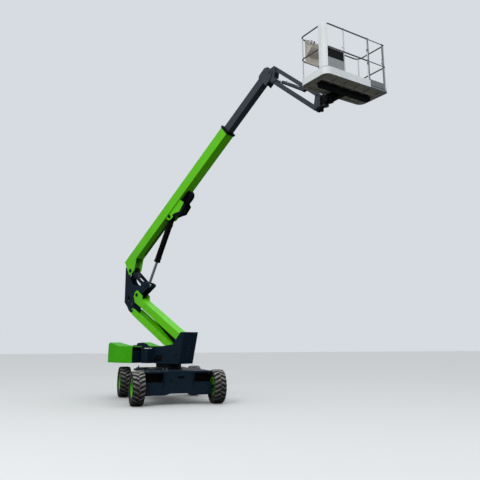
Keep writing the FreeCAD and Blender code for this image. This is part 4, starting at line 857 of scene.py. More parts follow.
def make_hood_trim(slots):
    """Vent slots and hinge pads of both hoods, and the humped plates that stand between them."""
    for side, name in ((1, "left"), (-1, "right")):
        body = "hood_" + name + "_lid"
        vents = Piece("hood_vent_" + name, TABLE, body, "lime_plastic", "black")
        for z in 1.12 + 0.028 * np.arange(slots):
            vents.block((-1.7645, -1.7590), across(side, 0.40, 0.62), about(z, 0.006), 0.002)
        vents.done()
        pulls = Piece("hood_pull_" + name, TABLE, body, "lime_plastic", "hood")
        for s in (-1.56, -1.16):
            pulls.block(about(s, 0.050), across(side, 0.7395, 0.744), (0.985, 1.035), 0.002)
        pulls.done()
    lip = Piece("hood_bay_trim", TABLE, "turntable", "dark_paint", "navy")
    hump = [(-1.735, 1.18), (-1.735, 1.40), (-1.722, 1.445), (-1.690, 1.475), (-1.640, 1.488),
            (-1.440, 1.490), (-1.300, 1.470), (-1.180, 1.410), (-1.080, 1.372), (-0.940, 1.350),
            (-0.840, 1.338), (-0.62, 1.322), (-0.62, 1.18)]
    for side, top in ((-1, 1.410), (1, 1.490)):
        lip.prism([(s, min(z, top)) for s, z in hump], across(side, 0.236, 0.250), 0.002)
    lip.done()


def make_tower_trim():
    """Cheeks, ribs and clamps of the tower's two arms."""
    up = Piece("upper_arm_trim", ARM_UP, "tower_top_link", "lime_paint", "lime")
    cheek = [(1.90, -0.205), (1.90, -0.060), (2.075, -0.035), (2.180, 0.080), (2.448, 0.104),
             (2.500, 0.022), (2.488, -0.100), (2.300, -0.205)]
    for side in SIDES:
        up.prism(cheek, across(side, 0.1445, 0.1505), 0.002)
    up.done()
    low = Piece("lower_arm_trim", ARM_LOW, "tower_low_link", "lime_paint", "lime")
    for t in (1.18, 2.02):
        for side in SIDES:
            low.block(about(t, 0.014), across(side, 0.149, 0.155), (-0.096, 0.094), 0.002)
    for t in (0.95, 1.55, 2.1):
        low.block(about(t, 0.04), (-0.13, 0.13), (-0.094, -0.084), 0.003)
    low.done()
    clamps = Piece("arm_clamps", ARM_UP, "tower_top_link", "lime_paint", "black")
    for t in (0.55, 1.15, 1.70):
        clamps.block(about(t, 0.02), (-0.12, 0.12), (-0.075, -0.060), 0.003)
    clamps.done()


def make_tower_lines():
    """Hoses under the tower's upper arm, and the collar, ports and pipe of its cylinder."""
    lines = Piece("tower_lines", ARM_UP, "tower_top_link", "black_plastic", "hose")
    for y in (-0.118, -0.098, -0.078, 0.098, 0.118):
        path = upright(y, [(0.12, -0.10), (0.40, -0.086), (0.85, -0.088), (1.30, -0.084), (1.75, -0.090),
                           (2.00, -0.10)])
        lines.tube(path + [(2.16, y * 0.9, -0.13)], 0.0115, 8, 6)
    lines.done()
    fit = Piece("tower_barrel_ports", TOWER_BARREL, "tower_barrel", "black_paint", "black")
    fit.lathe((1.398, 0, 0), (1, 0, 0), [(0, 0.0605), (0.004, 0.064), (0.020, 0.064), (0.024, 0.0605)],
              32, False)
    for t in (0.14, 1.33):
        fit.lathe((t, 0.050, 0), (0, 1, 0), [(0, 0.018), (0.012, 0.018), (0.014, 0.012), (0.022, 0.011),
                                             (0.022, 0)], 12)
    pipe = [(0.14, 0.070), (0.17, 0.072), (0.35, 0.061), (0.80, 0.060), (1.20, 0.061), (1.30, 0.072),
            (1.33, 0.070)]
    fit.tube([(t, y, 0) for t, y in pipe], 0.006, 8, 6)
    fit.done()


def make_riser_trim():
    """Pin caps, cross tubes and the sleeve of the riser."""
    pins = Piece("riser_pin_caps", TABLE, "riser_frame", "dark_paint", "navy")
    for side in SIDES:
        for (s, z), radius in ((RISER_TOP, 0.050), (RISER_LOW, 0.046), (BOOM_PIVOT, 0.055)):
            pins.cap((s, side * RISER_HALF, z), (0, side, 0), radius, 0.012)
        pins.cap((LIFT_EYE[0], side * 0.126, LIFT_EYE[1]), (0, side, 0), 0.045, 0.012)
        for angle in (40, 220):
            pins.keeper((LIFT_EYE[0], side * 0.122, LIFT_EYE[1]), side, 0.045, angle)
    pins.done()
    cross = Piece("riser_cross_tubes", TABLE, "riser_frame", "dark_paint", "navy")
    for s, z in ((-1.86, 2.66), (-1.90, 3.60), (-1.20, 3.16)):
        cross.lathe((s, -0.107, z), (0, 1, 0), [(0, 0), (0, 0.024), (0.214, 0.024), (0.214, 0)], 20, False)
    cross.done()
    sleeve = Piece("riser_sleeve", TABLE, "riser_frame", "dark_paint", "black")
    sleeve.lathe((RISER_HOLE[0], -0.105, RISER_HOLE[1]), (0, 1, 0),
                 [(0, 0), (0, 0.064), (0.210, 0.064), (0.210, 0)], 32, False)
    sleeve.done()


def make_riser_lines(hose):
    """Six hoses over the riser's back and four inside it, and its angle switch."""
    lines = Piece("riser_lines", TABLE, "riser_frame", "black_plastic", "rubber")
    for k in range(6):
        d = 0.012 * k
        lines.tube(upright(-0.075 + 0.030 * k, [
            (-1.66, 2.78), (-1.74 - d, 2.90), (-1.80 - d, 3.10), (-1.78 - d, 3.32), (-1.70 - d, 3.48),
            (-1.60, 3.52 + d), (-1.50, 3.46 + d), (-1.46, 3.38)]), hose, 8, 7)
    for y in (-0.06, -0.02, 0.02, 0.06):
        lines.tube(upright(y, [(-1.62, 2.74), (-1.56, 2.86), (-1.36, 3.00), (-1.20, 3.08), (-1.12, 3.12)]),
                   0.011, 8, 7)
    lines.done()
    switch = Piece("riser_switch", TABLE, "riser_frame", "black_plastic", "plastic")
    switch.block((-1.58, -1.50), (-0.150, -0.1225), (2.56, 2.64), 0.004)
    switch.done()


def make_boom_trim():
    """Weld beads, pin caps, collar pads and bracket edges of the main boom."""
    trim = Piece("boom_weld_beads", BOOM, "boom", "lime_paint", "lime")
    for side in SIDES:
        for p in (0.117, 0.408):
            trim.tube(upright(side * 0.139, [(0.10, p), (1.8, p), (3.5, p), (5.18, p)]), 0.004, 6, 6)
    trim.done()
    caps = Piece("boom_pin_caps", BOOM, "boom", "dark_paint", "black")
    for side in SIDES:
        caps.cap((LIFT_PIN[0], side * 0.124, LIFT_PIN[1]), (0, side, 0), 0.048, 0.010)
        caps.keeper((LIFT_PIN[0], side * 0.118, LIFT_PIN[1]), side, 0.048, 120)
    caps.done()
    pads = Piece("collar_pads", BOOM, "boom", "dark_paint", "black")
    middle = 5.220
    for side in SIDES:
        for p in (0.16, 0.265, 0.37):
            pads.bolt((middle, side * 0.158, p), (0, side, 0), 0.011)
    for y in (-0.09, 0.0, 0.09):
        pads.bolt((middle, y, 0.428), (0, 0, 1), 0.011)
        pads.bolt((middle, y, 0.097), (0, 0, -1), 0.011)
    pads.done()
    edge = Piece("boom_bracket_edges", BOOM, "boom", "dark_paint", "black")
    for side in SIDES:
        edge.prism([(2.30, -0.075), (2.433, -0.156), (2.572, -0.257), (2.572, -0.150), (2.42, -0.045),
                    (2.30, 0.0)], across(side, 0.0985, 0.1135), 0.001)
        edge.prism([(2.572, -0.257), (2.843, -0.219), (2.866, -0.08), (2.80, -0.10), (2.572, -0.150)],
                   across(side, 0.0985, 0.1135), 0.001)
    edge.done()


def loop_at(d):
    """Place along the boom, height and turn at a distance along the hose carrier's loop.

    The loop is a straight below, a half circle, a straight above and a half circle.
    """
    bend = math.pi * LOOP_R
    if d < LOOP_LENGTH:
        return LOOP_START + d, LOOP_MID - LOOP_R, 0.0
    if d < LOOP_LENGTH + bend:
        a = (d - LOOP_LENGTH) / LOOP_R
        return LOOP_START + LOOP_LENGTH + LOOP_R * math.sin(a), LOOP_MID - LOOP_R * math.cos(a), a
    if d < 2 * LOOP_LENGTH + bend:
        return LOOP_START + 2 * LOOP_LENGTH + bend - d, LOOP_MID + LOOP_R, math.pi
    a = math.pi + (d - 2 * LOOP_LENGTH - bend) / LOOP_R
    return LOOP_START + LOOP_R * math.sin(a), LOOP_MID - LOOP_R * math.cos(a), a


def make_carrier(links):
    """Pointed link plates spaced evenly round the hose carrier's loop, and three layers of hoses in it."""
    track = Piece("carrier_links", BOOM, "boom", "black_plastic", "black")
    pitch = (2 * LOOP_LENGTH + TURN * LOOP_R) / links
    long, high = pitch * 0.44, 0.0215
    plate = [(-long, -high), (long, -high), (long * 1.12, 0), (long, high), (-long, high)]
    for i in range(links):
        t, p, a = loop_at(pitch * i)
        outline = [plus((t, p), rotated(u, v, math.degrees(a))) for u, v in plate]
        for side in SIDES:
            track.prism(outline, across(side, 0.046, 0.056), 0.0015)
    track.done()
    inner = Piece("carrier_hoses", BOOM, "boom", "black_plastic", "black")
    far, half_way = LOOP_START + LOOP_LENGTH, LOOP_START + LOOP_LENGTH / 2
    for r in (0.078, 0.053, 0.028):
        low, high = LOOP_MID - r, LOOP_MID + r
        bend = arc((far, LOOP_MID), r, -QUARTER, QUARTER, 9)
        for y in (-0.024, 0.0, 0.024):
            inner.tube(upright(y, [(LOOP_START, low), (half_way, low), *bend, (half_way, high),
                                   (LOOP_START, high)]), 0.012, 8, 3)
    inner.done()


def make_lift_lines():
    """Collar, ports and pipe of the lift cylinder, and two clipped hoses under the boom."""
    fit = Piece("lift_barrel_ports", LIFT_BARREL, "lift_barrel", "black_paint", "black")
    fit.lathe((1.345, 0, 0), (1, 0, 0), [(0, 0.0905), (0.006, 0.095), (0.040, 0.095), (0.046, 0.0905)],
              40, False)
    for t in (0.20, 1.28):
        fit.lathe((t, 0, 0.084), (0, 0, 1), [(0, 0.026), (0.020, 0.026), (0.022, 0.018), (0.042, 0.016),
                                             (0.042, 0)], 12)
    fit.tube(upright(0, [(0.20, 0.125), (0.24, 0.130), (0.42, 0.100), (0.80, 0.097), (1.10, 0.100),
                         (1.24, 0.128), (1.28, 0.122)]), 0.010, 8, 6)
    fit.done()
    lines = Piece("boom_lines", BOOM, "boom", "black_plastic", "rubber")
    for y in (0.068, 0.092):
        path = upright(y, [(0.46, 0.150), (0.62, 0.105), (0.95, 0.100), (1.40, 0.100), (1.86, 0.100)])
        lines.tube(path + [(2.20, 0.9 * y, 0.102), (2.62, 0.5 * y, 0.092)], 0.009, 8, 6)
    for t in (0.75, 1.30, 1.80):
        lines.block(about(t, 0.012), (0.056, 0.104), (0.088, 0.1145), 0.002)
    lines.done()


def make_fly_trim():
    """Pin caps and bolts at the head of the fly boom."""
    caps = Piece("fly_pin_caps", BOOM, "fly", "slate_paint", "slate")
    for side in SIDES:
        caps.cap((LEVEL_PIVOT[0], side * 0.120, LEVEL_PIVOT[1]), (0, side, 0), 0.046, 0.012)
        for t, p in ((6.90, 0.07), (6.90, 0.36), (7.05, 0.39), (7.02, 0.085)):
            caps.bolt((t, side * 0.112, p), (0, side, 0), 0.011)
    caps.done()


def make_jib_head():
    """Flat pin caps and bolts of the jib's head, and the four hoses that pass through it."""
    caps = Piece("jib_head_caps", TABLE, "jib_head", "slate_paint", "slate")
    eye = plus(JIB_UP, JIB_EYE)
    for side in SIDES:
        for s, z in (JIB_UP, JIB_LOW):
            caps.cap((s, side * (HEAD_HALF + 0.0005), z), (0, side, 0), 0.036, 0.004)
        caps.cap((eye[0], side * HEAD_HALF, eye[1]), (0, side, 0), 0.026, 0.0045)
        for s, z in (plus(LEVEL_PIN, (0.10, -0.09)), plus(JIB_UP, (-0.03, -0.17))):
            caps.bolt((s, side * HEAD_HALF, z), (0, side, 0), 0.0055)
    caps.done()
    lines = Piece("jib_head_lines", TABLE, "jib_head", "black_plastic", "rubber")
    path = [plus(JIB_UP, step) for step in ((-0.10, -0.09), (-0.06, -0.12), (-0.03, -0.19), (-0.03, -0.26),
                                            (-0.06, -0.30), (-0.10, -0.31))]
    for y in (-0.045, -0.015, 0.015, 0.045):
        lines.tube(upright(y, path), 0.0115, 8, 7)
    lines.done()


def make_jib_end():
    """Pin caps and bolts of the jib's end, and the knob and hoses beside its lower pin."""
    end = Piece("jib_end_caps", TABLE, "jib_end", "slate_paint", "slate")
    for side in SIDES:
        for s, z in (JIB_END, JIB_END_LOW):
            end.cap((s, side * END_HALF, z), (0, side, 0), 0.036, 0.014)
        for drop in (0.17, 0.24):
            end.bolt((JIB_END[0] + 0.03, side * HEAD_HALF, JIB_END[1] - drop), (0, side, 0), 0.010)
    end.done()
    knob = Piece("jib_end_fittings", TABLE, "jib_end", "black_paint", "black")
    s, z = JIB_END_LOW
    knob.lathe((s + 0.06, 0, z - 0.035), (1, 0, -0.35), [(0, 0), (0, 0.030), (0.06, 0.030), (0.065, 0.040),
                                                        (0.10, 0.040), (0.108, 0.03), (0.108, 0)], 20, False)
    for k in (-1, 0, 1):
        knob.tube([(s + 0.14, 0.05 * k, z + 0.02), (s + 0.12, 0.05 * k, z - 0.03),
                   (s + 0.075, 0.04 * k, z - 0.062), (s + 0.045, 0.03 * k, z - 0.075)], 0.010, 8, 6)
    knob.done()


def make_jib_arms():
    """Short hoses and edge strips of the jib's lower arm, and the ports and pipe of its cylinder."""
    low = Piece("jib_low_lines", JIB_B, "jib_low_link", "black_plastic", "rubber")
    for y in (-0.054, 0.054):
        low.tube(upright(y, [(1.20, -0.030), (1.30, -0.026), (1.40, -0.028), (1.50, -0.030),
                             (1.58, -0.030)]), 0.010, 8, 6)
    low.done()
    edge = Piece("jib_low_strip", JIB_B, "jib_low_link", "slate_paint", "slate")
    for side in SIDES:
        edge.block((0.10, 1.62), across(side, 0.0715, 0.0755), (-0.010, 0.000), 0.002)
    edge.done()
    fit = Piece("jib_barrel_ports", JIB_BARREL, "jib_barrel", "black_paint", "black")
    for t in (0.13, 0.66):
        fit.lathe((t, 0, -0.038), (0, 0, -1), [(0, 0.014), (0.012, 0.014), (0.014, 0.010), (0.022, 0.009),
                                               (0.022, 0)], 12)
    fit.tube(upright(0, [(0.13, -0.062), (0.16, -0.064), (0.28, -0.048), (0.50, -0.048), (0.62, -0.062),
                         (0.66, -0.060)]), 0.006, 8, 6)
    fit.done()


def make_floor():
    """Raised bars of the tread plate: low diamonds that turn by a right angle from one to the next."""
    tread = Piece("floor_tread", DECK, "platform", "alloy", "floor_alloy")
    i, k = np.meshgrid(np.arange(9), np.arange(20), indexing="ij")
    a = np.radians(np.where((i + k) % 2, 45.0, -45.0))
    flat, c, s = np.zeros(a.shape), np.cos(a), np.sin(a)
    spot = np.stack([X0 + 0.12 + i * (X1 - X0 - 0.24) / 8, -HALF + 0.16 + k * (2 * HALF - 0.32) / 19,
                     flat + FLOOR_Z], axis=2)
    u, v = 0.018 * np.stack([c, s, flat], axis=2), 0.005 * np.stack([-s, c, flat], axis=2)
    points = np.stack([spot - u, spot + v, spot + u, spot - v, spot + (0, 0, 0.0022)], axis=2).reshape(-1, 3)
    sides = np.array([(0, 1, 4), (1, 2, 4), (2, 3, 4), (3, 0, 4)])
    tread.add(points, (np.arange(0, len(points), 5)[:, None, None] + sides).reshape(-1, 3))
    tread.done()


def make_gate():
    """Kick plate, sill cover and latch of the gate."""
    kick = Piece("gate_kick_plate", DECK, "gate", "pale_paint", "kick_panel")
    kick.block((RAIL_X1 + 0.0135, RAIL_X1 + 0.0175), (GATE_Y[0] + 0.002, GATE_Y[1] - 0.002),
               above(0.020, 0.160), 0.0015)
    kick.done()
    cover = Piece("gate_sill_cover", DECK, "platform", "pale_paint", "kick_panel")
    bend = arc((X1 - GATE_CORNER_R, HALF - GATE_CORNER_R), GATE_CORNER_R, 0, QUARTER, 9)
    cover.sheet([(X1, GATE_Y[0]), *bend], above(-0.0395, 0.0045), 0.0006)
    cover.done()
    latch = Piece("gate_latch", DECK, "gate", "pale_paint", "steel")
    hold = GATE_Y[1] - 0.024
    latch.block(about(RAIL_X1, 0.02), about(hold, 0.008), above(0.66, 0.72), 0.003)
    latch.lathe((RAIL_X1, hold, FLOOR_Z + 0.72), (0, 0, 1), [(0, 0.006), (0.05, 0.006), (0.055, 0.010),
                                                            (0.07, 0.010), (0.072, 0)], 12)
    latch.done()


def make_panels():
    """Dark window, grey sheet and seam of the corner panel, bent round its corner, and the grab loop."""
    window = Piece("panel_window", DECK, "platform", "pale_paint", "black")
    middle = (X1 - CORNER_R, CORNER_R - HALF)
    corner = arc(middle, CORNER_R - RAIL_IN + 0.0025, -0.54, 0, 8)
    pane, plate = above(0.365, 0.586), above(0.134, 0.363)
    window.block((RAIL_X1 + 0.0025, RAIL_X1 + 0.0055), (middle[1], -0.394), pane, 0.001)
    window.sheet(corner, pane, 0.003)
    window.done()
    sheet = Piece("panel_sheet", DECK, "platform", "pale_paint", "grey_panel")
    sheet.block((RAIL_X1 + 0.0025, RAIL_X1 + 0.0050), (middle[1], -0.392), plate, 0.001)
    sheet.sheet(corner, plate, 0.0025)
    sheet.done()
    seam = Piece("column_seam", DECK, "platform", "pale_paint", "black")
    path = [(X1 - 0.210, -HALF), *arc(middle, CORNER_R, -QUARTER, -0.45, 9)]
    seam.tube([(x, y, FLOOR_Z + TOE_H) for x, y in path], 0.0025, 6, 4)
    seam.done()
    loop = Piece("grab_loop", DECK, "platform", "pale_paint", "pale")
    bow = arc((-0.430, FLOOR_Z + 0.622), (0.055, 0.090), 0, math.pi, 11)
    loop.tube([(RAIL_X1 + 0.006, y, z) for y, z in bow], 0.009, 10, 4)
    loop.done()


def make_console():
    """Desk of the control console with its sticks, stop button and guard tube."""
    desk = Piece("console_desk", DECK, "platform", "alloy", "beige")
    cx = RAIL_X0 + 0.0168
    top = FLOOR_Z + TOP_RAIL
    desk.prism([(cx + 0.004, top - 0.405), (cx + 0.152, top - 0.315), (cx + 0.205, top - 0.252),
                (cx + 0.205, top - 0.216), (cx + 0.004, top - 0.134)], (-0.772, -0.430), 0.004)
    desk.done()
    tilt = (0.35, 0, 0.9)
    stick = [(0, 0.026), (0.012, 0.024), (0.030, 0.010), (0.075, 0.008), (0.080, 0.018), (0.115, 0.020),
             (0.128, 0.014), (0.130, 0)]
    toggle = [(0, 0.010), (0.008, 0.010), (0.010, 0.004), (0.028, 0.003), (0.029, 0)]
    button = [(0, 0.012), (0.016, 0.012), (0.018, 0.022), (0.030, 0.022), (0.036, 0.012), (0.037, 0)]
    sticks = Piece("console_sticks", DECK, "platform", "alloy", "plastic")
    for y in (-0.705, -0.625, -0.485):
        sticks.lathe((cx + 0.10, y, top - 0.172), tilt, stick, 16)
    for i in range(5):
        sticks.lathe((cx + 0.17, -0.715 + 0.055 * i, top - 0.198), tilt, toggle, 10)
    sticks.done()
    stop = Piece("console_stop", DECK, "platform", "alloy", "red")
    stop.lathe((cx + 0.10, -0.555, top - 0.174), tilt, button, 20)
    stop.done()
    guard = Piece("console_guard", DECK, "platform", "pale_paint", "rail")
    near, middle, far = cx + 0.005, cx + 0.16, cx + 0.235
    guard.tube([(near, -0.790, top - 0.06), (middle, -0.793, top - 0.08), (far, -0.780, top - 0.17),
                (far, -0.605, top - 0.20), (far, -0.430, top - 0.17), (middle, -0.412, top - 0.08),
                (near, -0.409, top - 0.06)], 0.010, 10, 8)
    guard.done()


def make_rail_joints():
    """Collars where rails meet posts, the posts' feet, and the rivets round the toe boards."""
    joints = Piece("rail_collars", DECK, "platform", "pale_paint", "rail")
    posts = [(x, y, way) for x, way in ((RAIL_X0, 1), (RAIL_X1, -1)) for y in POST_Y]
    for x, y, way in posts:
        for z in (FLOOR_Z + MID_RAIL, FLOOR_Z + TOP_RAIL):
            joints.lathe((x, y, z - 0.024), (0, 0, 1), [(0, 0.0141), (0.004, 0.0175), (0.044, 0.0175),
                                                        (0.048, 0.0141)], 16, False)
        low, high = sorted((x - way * 0.016, x + way * 0.038))
        joints.block((low, high), (y - 0.03, y + 0.03), (FLOOR_Z - 0.0028, FLOOR_Z + 0.004), 0.002)
        for dy in (-0.021, 0.021):
            joints.bolt((x + way * 0.024, y + dy, FLOOR_Z + 0.004), (0, 0, 1), 0.005)
    joints.done()
    rivets = Piece("toe_board_rivets", DECK, "platform", "pale_paint", "pale")
    for i in range(12):
        y = -HALF + 0.17 + i * (2 * HALF - 0.34) / 11
        rivets.bolt((X0, y, FLOOR_Z + 0.030), (-1, 0, 0), 0.004)
        if y < 0.36:
            rivets.bolt((X1, y, FLOOR_Z + 0.030), (1, 0, 0), 0.004)
    for i in range(6):
        x = X0 + 0.17 + i * (X1 - X0 - 0.34) / 5
        rivets.bolt((x, HALF, FLOOR_Z + 0.030), (0, 1, 0), 0.004)
        rivets.bolt((x, -HALF, FLOOR_Z + 0.030), (0, -1, 0), 0.004)
    rivets.done()


def make_underside():
    """Clamps, bolts and bracket under the platform, and its valve with three hoses."""
    under = Piece("platform_mount_clamps", DECK, "platform", "black_paint", "black")
    mid = (X0 + X1) / 2
    for y in (-0.62, -0.36, 0.36, 0.62):
        under.block(about(mid, 0.085), about(y, 0.03), above(-MOUNT_DROP, -0.0405), 0.003)
        for dx in (-0.07, 0.07):
            under.bolt((mid + dx, y, FLOOR_Z - MOUNT_DROP), (0, 0, -1), 0.011)
    under.block((0.08, 0.19), (-0.10, 0.10), (FLOOR_Z - 0.150, FLOOR_Z - 0.060), 0.006)
    for x, y in ring(0.068, 8):
        under.bolt((x, y, JIB_END[1] - 0.040), (0, 0, 1), 0.009)
    under.done()
    valve = Piece("platform_valve", DECK, "platform", "black_paint", "black")
    valve.block((0.30, 0.46), (-0.200, -0.080), (FLOOR_Z - 0.140, FLOOR_Z - 0.050), 0.004)
    for i in range(3):
        valve.lathe((0.33 + 0.05 * i, -0.20, FLOOR_Z - 0.095), (0, -1, 0),
                    [(0, 0.016), (0.05, 0.016), (0.055, 0.010), (0.055, 0)], 14)
        valve.tube([(0.33 + 0.05 * i, -0.10, FLOOR_Z - 0.140), (0.33 + 0.05 * i, -0.10, FLOOR_Z - 0.19),
                    (0.22, -0.08 + 0.02 * i, FLOOR_Z - 0.21), (0.10, -0.06 + 0.03 * i, FLOOR_Z - 0.16)],
                   0.010, 8, 6)
    valve.done()


def make_platform_fittings():
    """Foot switch and lanyard rings."""
    pedal = Piece("foot_switch", DECK, "platform", "alloy", "plastic")
    outline = [(0.13, 0.0005), (0.33, 0.0005), (0.33, 0.045), (0.16, 0.10), (0.13, 0.10)]
    pedal.prism([plus((X0, FLOOR_Z), corner) for corner in outline], (-0.66, -0.54), 0.004)
    pedal.done()
    rings = Piece("lanyard_rings", DECK, "platform", "pale_paint", "amber")
    for y in (-0.30, 0.20):
        circle = arc((y, FLOOR_Z + MID_RAIL), 0.026, 0, TURN, 13)
        rings.tube([(RAIL_X0 + 0.020, y, z) for y, z in circle], 0.005, 8, 3)
    rings.done()


def make_stage():
    """Grey floor, even world light, two round lamps and the camera that sees what the photo shows."""
    bpy.ops.mesh.primitive_plane_add(size=120, location=(0, 0, -0.002))
    floor = bpy.context.object
    floor.name = "studio_floor"
    look = bpy.data.materials.new("studio_floor")
    look.use_nodes = True
    shader = look.node_tree.nodes["Principled BSDF"]
    shader.inputs["Roughness"].default_value = 0.9
    tree = look.node_tree
    seen, bounced = plain(tree, (0.60, 0.60, 0.59)), plain(tree, (0.07, 0.07, 0.068))
    path = node(tree, "ShaderNodeLightPath")
    wire(tree, (mixed(tree, path.outputs["Is Camera Ray"], bounced, seen), shader.inputs["Base Color"]))
    floor.data.materials.append(look)
    world = bpy.context.scene.world or bpy.data.worlds.new("studio")
    bpy.context.scene.world = world
    world.use_nodes = True
    tree = world.node_tree
    sky = tree.nodes["Background"]
    height = height_in(tree, node(tree, "ShaderNodeTexCoord").outputs["Generated"])
    low, high = plain(tree, (0.60, 0.63, 0.67)), plain(tree, (1.25, 1.30, 1.36))
    light = mixed(tree, ranged(tree, height, 0.0, 0.9), low, high)
    path = node(tree, "ShaderNodeLightPath")
    seen = plain(tree, (0.80, 0.84, 0.89))
    wire(tree, (mixed(tree, path.outputs["Is Camera Ray"], light, seen), sky.inputs["Color"]))
    sky.inputs["Strength"].default_value = 0.85
    for name, at, size, power in (("key", (13, -10, 13), 7.0, 1300.0), ("fill", (14, 7, 8), 8.0, 220.0)):
        data = bpy.data.lights.new(name, "AREA")
        data.shape = "DISK"
        data.size = size
        data.energy = power
        lamp = bpy.data.objects.new(name, data)
        bpy.context.scene.collection.objects.link(lamp)
        lamp.location = at
        lamp.rotation_mode = "QUATERNION"
        lamp.rotation_quaternion = (Vector((1.5, 0.5, 3.5)) - Vector(at)).to_track_quat("-Z", "Y")
    data = bpy.data.cameras.new("photo_view")
    data.lens = 42.0
    data.sensor_width = 36.0
    data.shift_y = -0.073
    data.clip_end = 200
    camera = bpy.data.objects.new("photo_view", data)
    bpy.context.scene.collection.objects.link(camera)
    camera.location = (15.65, -3.25, 1.54)
    rise = math.radians(13.65)
    gaze = Vector((-0.947 * math.cos(rise), 0.321 * math.cos(rise), math.sin(rise)))
    camera.rotation_mode = "QUATERNION"
    camera.rotation_quaternion = gaze.to_track_quat("-Z", "Y")
    bpy.context.scene.camera = camera
    bpy.context.scene.view_settings.view_transform = "Standard"


def paint(name, description, default):
    """A colour in the sidebar."""
    return bpy.props.FloatVectorProperty(name=name, description=description, default=default, size=3,
                                         min=0.0, max=1.0, subtype="COLOR")


class BoomLiftSizes(bpy.types.PropertyGroup):
    """Counts and sizes of the repeated pieces"""
    lugs: bpy.props.IntProperty(name="Lugs a side", description="Lugs along each half of a tyre's tread",
                                default=21, min=10, max=30)
    lug_height: bpy.props.FloatProperty(name="Lug height", description="How far a lug stands off the tread",
                                        default=0.030, min=0.010, max=0.035, precision=3, unit="LENGTH")
    nuts: bpy.props.IntProperty(name="Wheel nuts", description="Nuts that hold each wheel",
                                default=10, min=5, max=12)
    nut_size: bpy.props.FloatProperty(name="Nut size", description="Radius of a wheel nut across its corners",
                                      default=0.0115, min=0.006, max=0.014, precision=4, unit="LENGTH")
    ring_bolts: bpy.props.IntProperty(name="Ring bolts", description="Bolts round the slew ring",
                                      default=24, min=8, max=36)
    fins: bpy.props.IntProperty(name="Louvre fins", description="Fins on the turntable's front",
                                default=5, min=2, max=8)
    slots: bpy.props.IntProperty(name="Vent slots", description="Slots in the back of each hood",
                                 default=7, min=3, max=9)
    hose: bpy.props.FloatProperty(name="Riser hose", description="Radius of the hoses over the riser's back",
                                  default=0.0125, min=0.006, max=0.014, precision=4, unit="LENGTH")
    links: bpy.props.IntProperty(name="Carrier links", description="Links round the hose carrier's loop",
                                 default=34, min=16, max=48)


class BoomLiftColours(bpy.types.PropertyGroup):
    """Paints and rubbers that a user would change"""
    lime: paint("Boom paint", "Lime of the booms, the tower's arms and the rims", (0.115, 0.56, 0.001))
    hood: paint("Hoods", "Moulded green of the turntable's hoods", (0.050, 0.42, 0.000))
    navy: paint("Base paint", "Dark blue of the chassis, the turntable and the riser", (0.003, 0.012, 0.023))
    slate: paint("Jib paint", "Slate of the fly boom and the jib", (0.028, 0.038, 0.047))
    # This black also covers the slew ring, as painted shade of the gap under the turntable
    black: paint("Fittings", "Black of brackets, carriers and cylinder barrels", (0.0012, 0.002, 0.003))
    pale: paint("Platform panels", "Pale grey of the toe boards and panels", (0.64, 0.67, 0.67))
    posts: paint("Rail posts", "Pale grey of the platform's posts", (0.46, 0.47, 0.47))
    rails: paint("Rails", "Dark grey of the middle and top rails", (0.075, 0.085, 0.088))
    # Partly painted shade: the gate's grey matches the dark rails and also darkens its corner post, which
    # stands in shadow
    gate: paint("Gate", "Grey of the gate", (0.115, 0.125, 0.13))
    floor_alloy: paint("Floor", "Alloy of the platform's floor", (0.50, 0.485, 0.43))
    console: paint("Console", "Beige of the control console", (0.42, 0.39, 0.34))
    tyre: paint("Tyre", "Rubber of the tyres", (0.010, 0.010, 0.011))
    # The pale of the lug tops is partly wear and partly a painted highlight where the lugs face up
    lug_wear_and_highlight: paint("Lug wear and highlight", "Rubber where the lugs' tops are worn", (0.30, 0.29, 0.27))


class BOOMLIFT_OT_stage(bpy.types.Operator):
    """Floor, light and camera"""
    bl_idname = "boomlift.stage"
    bl_label = "Stage"

    def execute(self, context):
        make_stage()
        return {"FINISHED"}


class BOOMLIFT_OT_materials(bpy.types.Operator):
    """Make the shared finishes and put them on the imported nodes"""
    bl_idname = "boomlift.materials"
    bl_label = "Materials"

    def execute(self, context):
        make_materials(context.scene.boom_lift_colours)
        dress_nodes()
        return {"FINISHED"}


class BOOMLIFT_OT_tyres(bpy.types.Operator):
    """Lugged road tyres in place of the plain ones"""
    bl_idname = "boomlift.tyres"
    bl_label = "Tyres"

    def execute(self, context):
        sizes = context.scene.boom_lift_sizes
        make_tyres(sizes.lugs, sizes.lug_height)
        return {"FINISHED"}


class BOOMLIFT_OT_hubs(bpy.types.Operator):
    """Hubs, wheel nuts and valves"""
    bl_idname = "boomlift.hubs"
    bl_label = "Hubs"

    def execute(self, context):
        sizes = context.scene.boom_lift_sizes
        make_hubs(sizes.nuts, sizes.nut_size)
        return {"FINISHED"}


class BOOMLIFT_OT_chassis_bolts(bpy.types.Operator):
    """Bolts of the chassis and of the slew ring"""
    bl_idname = "boomlift.chassis_bolts"
    bl_label = "Chassis bolts"

    def execute(self, context):
        make_chassis_bolts(context.scene.boom_lift_sizes.ring_bolts)
        return {"FINISHED"}


class BOOMLIFT_OT_deck(bpy.types.Operator):
    """Covers, fittings and tie-down eyes of the chassis's deck"""
    bl_idname = "boomlift.deck"
    bl_label = "Deck"

    def execute(self, context):
        make_deck()
        return {"FINISHED"}


class BOOMLIFT_OT_axles(bpy.types.Operator):
    """Drive motors, their lines and the steering cylinder"""
    bl_idname = "boomlift.axles"
    bl_label = "Axles"

    def execute(self, context):
        make_axles()
        return {"FINISHED"}


class BOOMLIFT_OT_turntable(bpy.types.Operator):
    """Bolts, louvre fins and tower pin caps"""
    bl_idname = "boomlift.turntable"
    bl_label = "Turntable"

    def execute(self, context):
        make_table_trim(context.scene.boom_lift_sizes.fins)
        return {"FINISHED"}


class BOOMLIFT_OT_valves(bpy.types.Operator):
    """Valve block of the turntable and its hoses"""
    bl_idname = "boomlift.valves"
    bl_label = "Valves"

    def execute(self, context):
        make_valves()
        return {"FINISHED"}


